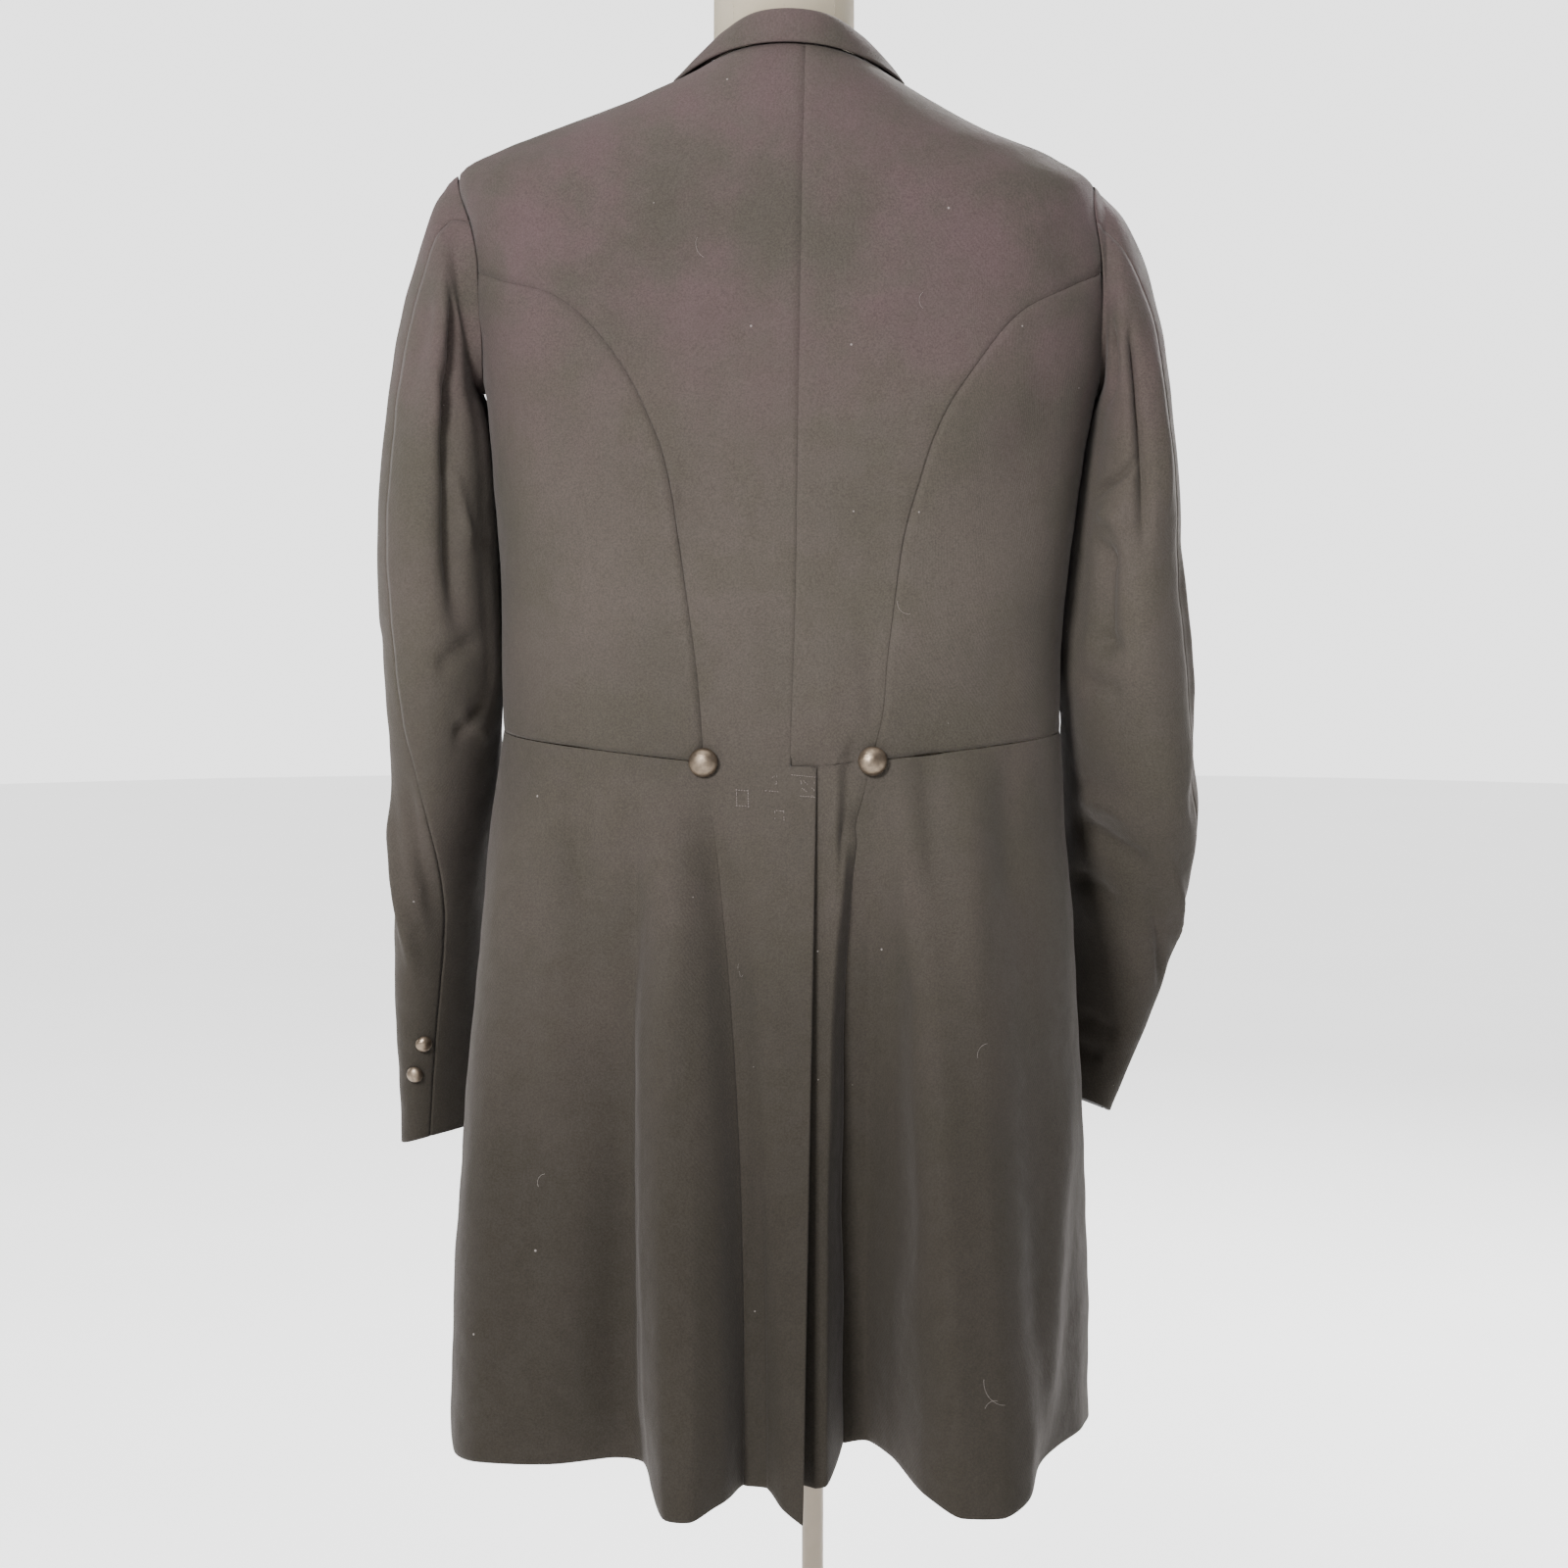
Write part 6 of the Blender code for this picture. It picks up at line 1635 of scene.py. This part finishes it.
def add_form():
    """The limbless form in its linen, with sewn seams down its middles and sides."""
    angles = np.linspace(0, 2 * np.pi, FORM_AROUND, endpoint=False)
    c, s = np.cos(angles), np.sin(angles)
    shift = np.array([COAT_SHIFT, 0, 0])
    hips = np.array(FORM_HIPS)
    rings = []
    for z, half, back, front in table(hips, np.linspace(0, len(hips) - 1, 9)):
        deep = np.where(s >= 0, back, front)
        reach = (np.abs(c / half) ** 2.3 + np.abs(s / deep) ** 2.3) ** (-1 / 2.3)
        rings.append(np.stack([0.002 + reach * c, reach * s, np.full(FORM_AROUND, z)], axis=-1) + shift)
    for level in np.linspace(0.0, 8.6, 60):
        points = body(angles, np.full(FORM_AROUND, level))
        inset = form_inset(angles, level) + 0.0004
        rings.append(points - body_normal(angles, np.full(FORM_AROUND, level)) * inset[:, None] + shift)
    deep = np.where(s >= 0, NECK_BACK, NECK_FRONT)
    low = body(angles, np.full(FORM_AROUND, NECK_LEVEL))[:, 2]
    for height, share in ((0, 1.0), (0.3, 1.0), (0.6, 0.997), (0.85, 0.985), (0.95, 0.95), (1, 0.90)):
        z = (low - 0.005) * (1 - height) + NECK_TOP * height
        rings.append(np.stack([NECK_HALF_WIDTH * share * c, deep * share * s, z], axis=-1) + shift)
    bottom = (COAT_SHIFT, 0, hips[0][0])
    soft = [rings[0] * (share, share, 1) + shift * (1 - share) for share in (0.55, 0.9)]
    rings[0] = rings[0] + (0, 0, 0.003)
    piece = add_rings("form_cover", "Cream linen", soft + rings, bottom, (COAT_SHIFT, 0, NECK_TOP))
    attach(piece, "root")
    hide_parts("form_body")
    seam_rings = rings[9:]
    lines = []
    for degrees in (45, 90, 135, 225, 270, 315):
        k = int(round(degrees / 360 * FORM_AROUND)) % FORM_AROUND
        across = (k + FORM_AROUND // 2) % FORM_AROUND
        lines.append([ring[k] + unit(ring[k] - ring[across]) * 0.0001 for ring in seam_rings])
    cream = bpy.data.materials["Cream thread"]
    sewn = {"Spacing": 0.004, "Length": 0.003, "Width": 0.0005, "Thread": cream}
    add_along("form_seams", lines, "Stitches on lines", "form_cover", **sewn)


def add_stand():
    """The neck's cap, the pole, its socket and the base plate."""
    h = CAP_HEIGHT
    cap = [(0, 0), (0.036, 0), (0.0405, 0.0006), (0.0422, 0.0025), (0.0418, 0.0052), (0.0395, 0.0080)]
    cap += [(0.0345, 0.0105), (0.024, 0.01175), (0.010, h), (0, h)]
    low, high = BASE_HEIGHT + SEAM_GAP, FORM_HIPS[0][0] - SEAM_GAP
    pole = [(0, low), (POLE_RADIUS * 0.9, low), (POLE_RADIUS, low + 0.0008)]
    pole += [(POLE_RADIUS, z) for z in np.linspace(low + 0.02, high - 0.02, 12)]
    pole += [(POLE_RADIUS, high - 0.0008), (POLE_RADIUS * 0.9, high), (0, high)]
    r = BASE_RADIUS
    base = [(0, 0), (0.09, 0), (r - 0.006, 0), (r - 0.002, 0.0008), (r, 0.0035), (r, 0.0070)]
    base += [(r - 0.0025, 0.0102), (r - 0.009, 0.0132), (r - 0.022, 0.0142), (0.110, 0.0151)]
    base += [(0.060, BASE_HEIGHT), (0.030, BASE_HEIGHT), (0, BASE_HEIGHT)]
    centre = (COAT_SHIFT, -0.002, NECK_TOP + SEAM_GAP)
    turned = (
        ("form_cap_turned", rounded(cap, 3), 64, centre, "form_cap"),
        ("form_pole_tube", pole, 48, (0, 0, 0), "form_pole"),
        ("form_base_plate", rounded(base, 3), 128, (0, 0, 0), "form_base"),
    )
    pieces = [
        (add_turned(name, "Beige enamel", rows, count, foot, (0, 0, 1)), solid)
        for name, rows, count, foot, solid in turned
    ]
    pieces.append((add_socket(), "form_socket"))
    for piece, solid in pieces:
        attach(piece, "root")
        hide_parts(solid)


def add_socket():
    """The ring that holds the pole on the base, with its bell and its rolled lip."""
    inner = POLE_RADIUS + SEAM_GAP
    low, high = BASE_HEIGHT + SEAM_GAP, BASE_HEIGHT + SOCKET_HEIGHT
    radius = SOCKET_RADIUS
    outer = [(radius + 0.0070, low), (radius + 0.0080, low + 0.0012), (radius + 0.0076, low + 0.0040)]
    outer += [(radius + 0.0030, low + 0.0075), (radius * 0.76, low + 0.014), (radius * 0.70, low + 0.024)]
    outer += [(radius * 0.66, high - 0.006), (radius * 0.655, high - 0.0022), (radius * 0.60, high - 0.0004)]
    outer += [(radius * 0.56, high)]
    profile = [(inner, low), *rounded(outer, 3), (inner + 0.0004, high), (inner, high - 0.0005)]
    count = 64
    turn = np.linspace(0, 2 * np.pi, count, endpoint=False)
    vertices = [(r * np.cos(t), r * np.sin(t), z) for r, z in profile for t in turn]
    faces = []
    for r in range(len(profile)):
        near, far = r * count, (r + 1) % len(profile) * count
        for k in range(count):
            n = (k + 1) % count
            faces.append((near + k, near + n, far + n, far + k))
    return add_mesh("form_socket_ring", vertices, faces, ["Beige enamel"])


def add_stitching():
    """Sewing that shows: the vent's tacks and the edges' prick stitches."""
    dark, pale = bpy.data.materials["Dark thread"], bpy.data.materials["Faded thread"]
    tails = ["back_left", "back_right"]
    lines = [line_on(tails, (x0, z0), (x1, z1), 0.00012) for x0, z0, x1, z1 in VENT_STITCHES]
    tacks = {"Spacing": 0.0016, "Length": 0.0015, "Width": 0.00060, "Thread": pale}
    add_along("vent_tacks", lines, "Stitches on lines", "wool", **tacks)
    edges = []
    for side in ("left", "right"):
        edges.append(line_beside(f"lapel_{side}", "right", 0.006, 0.00005, 0.02, 0.99))
        edges.append(line_beside(f"lapel_{side}", "top", 0.006, 0.00005, 0.1, 0.98))
    edges.append(line_beside("forepart_left", "right", 0.007, 0.00005, 0.0, 0.52))
    edges.append(line_beside("skirt_left", "left", 0.007, 0.00005, 0.0, 1.0))
    edges.append(line_beside("collar", "top", 0.006, 0.00005, 0.02, 0.98))
    pricks = {"Spacing": 0.0042, "Length": 0.0011, "Width": 0.00038, "Thread": dark}
    add_along("edge_stitches", edges, "Stitches on lines", "wool", **pricks)


def add_buttonholes():
    """Worked buttonholes of the left front, each reaching in from its button."""
    rows, bars = [], []
    for level in FRONT_BUTTON_LEVELS:
        line = []
        for degrees in np.linspace(-89.2, -81.2, 16):
            angle = np.radians(degrees)
            normal = body_normal(angle, level)
            line.append(body(angle, level) + normal * (front_rise(1, angle) + 0.0009) + (COAT_SHIFT, 0, 0))
        line = np.array(line)
        reach = 0.024 / np.linalg.norm(np.diff(line, axis=0), axis=1).sum()
        line = curve(np.linspace(0, 1, 16), line, np.linspace(0, min(reach, 1), 16))
        up = np.array([0, 0, 0.0011])
        loop = [*(line + up), line[-1] + (line[-1] - line[-2]) * 0.4, *(line - up)[::-1]]
        rows.append(loop)
        bars.append([line[-1] - up * 1.6, line[-1] + up * 1.6])
    dark = bpy.data.materials["Dark thread"]
    purl = {"Spacing": 0.0007, "Length": 0.0009, "Width": 0.0009, "Thread": dark}
    add_along("buttonhole_purl", rows, "Stitches on lines", "wool", **purl)
    add_along("buttonhole_bars", bars, "Strands", "wool", Width=0.0009, Thread=dark)


def add_lint():
    """Curled bits of pale thread that cling to the cloth."""
    lines = []
    for panel, x, z, length, degrees in LINT:
        way, line = math.radians(degrees), []
        curl = 1.3 if z * 1000 % 2 < 1 else -1.1
        for f in np.linspace(0, 1, 14):
            x += math.cos(way + curl * f * 1.4) * length / 13
            z += math.sin(way + curl * f * 1.4) * length / 13
            back = not panel.startswith("forepart")
            line.append(lies_on([panel], x, z, back, 0.0002 + 0.0004 * math.sin(f * 5) ** 2))
        lines.append(line)
    pale = bpy.data.materials["Pale thread"]
    add_along("loose_threads", lines, "Strands", "wool", Width=0.00017, Thread=pale)


def add_light(name, place, aim, size, power):
    """A large soft studio light."""
    light = bpy.data.lights.new(name, "AREA")
    light.shape = "RECTANGLE"
    light.size, light.size_y = size
    light.energy = power
    lamp = bpy.data.objects.new(name, light)
    lamp.location = place
    lamp.rotation_euler = (Vector(aim) - Vector(place)).to_track_quat("-Z", "Y").to_euler()
    bpy.context.scene.collection.objects.link(lamp)


def add_stage():
    """Floor, soft lights, pale surroundings and the camera."""
    turn = np.linspace(0, 2 * np.pi, 64, endpoint=False)
    ring = [[(r * math.cos(t), r * math.sin(t), 0.0) for t in turn] for r in (0.5, 2.0, 9.0)]
    vertices = [(0, 0, 0), *ring[0], *ring[1], *ring[2]]
    faces = [(0, 1 + k, 1 + (k + 1) % 64) for k in range(64)]
    for band in (0, 1):
        for k in range(64):
            n = (k + 1) % 64
            faces.append((1 + band * 64 + k, 65 + band * 64 + k, 65 + band * 64 + n, 1 + band * 64 + n))
    floor = add_mesh("studio_floor", np.array(vertices) - (0, 0, 0.0002), faces, ["Studio floor"])
    world = bpy.data.worlds.new("Studio")
    world.use_nodes = True
    nodes, links = world.node_tree.nodes, world.node_tree.links
    sky = nodes["Background"]
    sky.inputs["Color"].default_value = (1, 1, 1, 1)
    sight = nodes.new("ShaderNodeLightPath")
    links.new(ramp(nodes, links, sight.outputs["Is Camera Ray"], 0, 1, 0.24, 2.6), sky.inputs["Strength"])
    bpy.context.scene.world = world
    sun = bpy.data.lights.new("overhead", "SUN")
    sun.energy, sun.angle = 2.2, math.radians(60)
    bpy.context.scene.collection.objects.link(bpy.data.objects.new("overhead", sun))
    add_light("key_behind", (1.25, 2.9, 2.5), (0, 0, 1.15), (0.7, 0.7), 165)
    add_light("key_before", (-1.5, -2.7, 2.4), (0, 0, 1.1), (0.7, 0.7), 150)
    add_light("side_left", (3.0, -1.2, 1.9), (0, 0, 1.0), (1.0, 1.4), 26)
    add_light("side_right", (-3.0, -1.6, 1.9), (0, 0, 1.0), (1.2, 1.6), 10)
    camera = bpy.data.objects.new("camera", bpy.data.cameras.new("camera"))
    camera.location = (COAT_SHIFT, 2.5, 1.25)
    target = Vector((COAT_SHIFT, 0, 0.97))
    camera.rotation_euler = (target - camera.location).to_track_quat("-Z", "Y").to_euler()
    camera.data.lens = CAMERA_LENS
    camera.data.sensor_width = 36
    bpy.context.scene.collection.objects.link(camera)
    bpy.context.scene.camera = camera


class CoatCloth(bpy.types.PropertyGroup):
    """Sizes of the coat's cloth."""

    wall: bpy.props.FloatProperty(
        name="Cloth and lining",
        description="Thickness of the cloth with its lining",
        default=0.0018,
        unit="LENGTH",
    )
    crease: bpy.props.FloatProperty(
        name="Crease depth",
        description="How deep the creases are, as a share of their heights in the tables",
        default=1.75,
        subtype="FACTOR",
    )
    swell: bpy.props.FloatProperty(
        name="Unevenness",
        description="Height of the slow swell of hanging cloth",
        default=0.00042,
        unit="LENGTH",
    )
    pleat: bpy.props.FloatProperty(
        name="Pleat depth",
        description="How far the tails sink in beside the skirts",
        default=0.0115,
        unit="LENGTH",
    )
    seam_dip: bpy.props.FloatProperty(
        name="Seam dip",
        description="How far the cloth dips into a seam",
        default=0.00028,
        unit="LENGTH",
    )
    pucker: bpy.props.FloatProperty(
        name="Seam pucker",
        description="Height of the small puckers along a seam",
        default=0.00010,
        unit="LENGTH",
    )


def colour_property(name, description, default):
    return bpy.props.FloatVectorProperty(
        name=name, description=description, default=default, size=3, min=0, max=1, subtype="COLOR"
    )


class CoatColours(bpy.types.PropertyGroup):
    """Colours of the coat and its form."""

    wool: colour_property("Wool", "Ground colour of the cloth", (0.060, 0.051, 0.043))
    wool_faded: colour_property("Faded wool", "Where light has faded the cloth", (0.084, 0.071, 0.061))
    wool_purple: colour_property("Purple cast", "Where the old black dye turned purple", (0.088, 0.058, 0.060))
    wool_green: colour_property("Olive cast", "Where the old black dye turned olive", (0.058, 0.053, 0.038))
    # Painted shade: a darker wool mixed in towards the hem, in place of light falling off down the coat
    wool_painted_shade: colour_property("Wool in painted shade", "Darker wool mixed in towards the hem as painted shade", (0.0225, 0.0190, 0.0145))
    lining: colour_property("Lining", "Ground colour of the lining", (0.012, 0.010, 0.0095))
    metal: colour_property("Button metal", "Worn plate of the buttons", (0.30, 0.235, 0.175))
    linen: colour_property("Linen", "Cover of the form", (0.66, 0.59, 0.47))
    paint: colour_property("Enamel", "Paint of the pole and the base", (0.47, 0.385, 0.29))


class MakeMaterials(bpy.types.Operator):
    """Cloth, lining, thread, metal, linen and enamel."""

    bl_idname = "coat.make_materials"
    bl_label = "Materials"

    def execute(self, context):
        colours = context.scene.coat_colours
        make_groups()
        make_wool(colours)
        make_lining(colours)
        make_thread("Dark thread", (0.022, 0.018, 0.016))
        make_thread("Faded thread", (0.165, 0.135, 0.120))
        make_thread("Pale thread", (0.27, 0.235, 0.215))
        make_thread("Cream thread", (0.55, 0.47, 0.36))
        make_metal(colours)
        make_linen(colours)
        make_paint(colours)
        make_floor()
        make_stitch_tree()
        make_strand_tree()
        return {"FINISHED"}


class MakeBacks(bpy.types.Operator):
    """Both back panels, each in one with its tail."""

    bl_idname = "coat.make_backs"
    bl_label = "Backs and tails"

    def execute(self, context):
        cloth = context.scene.coat_cloth
        for side in (1, -1):
            rim = armhole(side)
            add_back(side, rim, side_body_seam(side, rim), cloth)
        return {"FINISHED"}


class MakeSideBodies(bpy.types.Operator):
    """The curved panels between the backs and the foreparts."""

    bl_idname = "coat.make_side_bodies"
    bl_label = "Side bodies"

    def execute(self, context):
        cloth = context.scene.coat_cloth
        for side in (1, -1):
            rim = armhole(side)
            chart = side_body_chart(side, rim, side_body_seam(side, rim))
            add_panel(f"sidebody_{name_of(side)}", chart, ("left", "right", "bottom"), cloth)
        return {"FINISHED"}


class MakeForeparts(bpy.types.Operator):
    """The chest panels, the left one over the right one."""

    bl_idname = "coat.make_foreparts"
    bl_label = "Foreparts"

    def execute(self, context):
        cloth = context.scene.coat_cloth
        for side in (1, -1):
            chart = forepart_chart(side, armhole(side))
            rise = front_rise(side, chart[..., 0])
            sewn, hole = ("left", "bottom", "top"), ("left", SEAM_ROWS)
            add_panel(f"forepart_{name_of(side)}", chart, sewn, cloth, rise, hole)
        return {"FINISHED"}


class MakeLapels(bpy.types.Operator):
    """The fronts turned back from the roll line."""

    bl_idname = "coat.make_lapels"
    bl_label = "Lapels"

    def execute(self, context):
        cloth = context.scene.coat_cloth
        for side in (1, -1):
            chart = lapel_chart(side)
            raised = front_rise(side, chart[..., 0]) + LAPEL_GAP + cloth.wall
            add_panel(f"lapel_{name_of(side)}", chart, (), cloth, raised)
        return {"FINISHED"}


class MakeSkirts(bpy.types.Operator):
    """Both skirts, from the front edge to the back pleat."""

    bl_idname = "coat.make_skirts"
    bl_label = "Skirts"

    def execute(self, context):
        cloth = context.scene.coat_cloth
        for side in (1, -1):
            add_skirt(side, cloth)
        return {"FINISHED"}


class MakeSleeves(bpy.types.Operator):
    """Top and under sleeves."""

    bl_idname = "coat.make_sleeves"
    bl_label = "Sleeves"

    def execute(self, context):
        cloth = context.scene.coat_cloth
        for side in (1, -1):
            add_sleeve(side, armhole(side), cloth)
        return {"FINISHED"}


class MakeCollar(bpy.types.Operator):
    """Stand and fall of the collar."""

    bl_idname = "coat.make_collar"
    bl_label = "Collar"

    def execute(self, context):
        cloth = context.scene.coat_cloth
        add_collar(cloth)
        return {"FINISHED"}


class MakeButtons(bpy.types.Operator):
    """Hip, cuff and front buttons."""

    bl_idname = "coat.make_buttons"
    bl_label = "Buttons"

    def execute(self, context):
        for side in (1, -1):
            add_hip_button(side)
            add_cuff_buttons(side)
        add_front_buttons()
        return {"FINISHED"}


class MakeStitching(bpy.types.Operator):
    """Tacks of the vent, edge stitches and buttonholes."""

    bl_idname = "coat.make_stitching"
    bl_label = "Stitching"

    def execute(self, context):
        add_stitching()
        add_buttonholes()
        return {"FINISHED"}


class MakeLooseThreads(bpy.types.Operator):
    """Bits of thread on the cloth."""

    bl_idname = "coat.make_loose_threads"
    bl_label = "Loose threads"

    def execute(self, context):
        add_lint()
        return {"FINISHED"}


class MakeForm(bpy.types.Operator):
    """The linen form and the seams of its cover."""

    bl_idname = "coat.make_form"
    bl_label = "Dress form"

    def execute(self, context):
        add_form()
        return {"FINISHED"}


class MakeStand(bpy.types.Operator):
    """Cap, pole, socket and base."""

    bl_idname = "coat.make_stand"
    bl_label = "Stand"

    def execute(self, context):
        add_stand()
        return {"FINISHED"}


class MakeStage(bpy.types.Operator):
    """Floor, lights and camera."""

    bl_idname = "coat.make_stage"
    bl_label = "Stage"

    def execute(self, context):
        add_stage()
        return {"FINISHED"}


STEPS = (
    MakeMaterials,
    MakeBacks,
    MakeSideBodies,
    MakeForeparts,
    MakeLapels,
    MakeSkirts,
    MakeSleeves,
    MakeCollar,
    MakeButtons,
    MakeStitching,
    MakeLooseThreads,
    MakeForm,
    MakeStand,
    MakeStage,
)


class CoatPanel(bpy.types.Panel):
    """Lists the sizes, the colours and the steps that make the coat."""

    bl_idname = "VIEW3D_PT_coat"
    bl_label = "Frock coat"
    bl_space_type = "VIEW_3D"
    bl_region_type = "UI"
    bl_category = "Coat"

    def draw(self, context):
        for group in (context.scene.coat_cloth, context.scene.coat_colours):
            column = self.layout.column()
            for name in type(group).__annotations__:
                column.prop(group, name)
        for step in STEPS:
            self.layout.operator(step.bl_idname)


CLASSES = (CoatCloth, CoatColours, *STEPS, CoatPanel)


def register():
    for cls in CLASSES:
        bpy.utils.register_class(cls)
    bpy.types.Scene.coat_cloth = bpy.props.PointerProperty(type=CoatCloth)
    bpy.types.Scene.coat_colours = bpy.props.PointerProperty(type=CoatColours)


def unregister():
    del bpy.types.Scene.coat_colours
    del bpy.types.Scene.coat_cloth
    for cls in reversed(CLASSES):
        bpy.utils.unregister_class(cls)


def main():
    register()
    for step in STEPS:
        getattr(bpy.ops.coat, step.bl_idname.split(".")[1])()


if __name__ == "__main__":
    main()
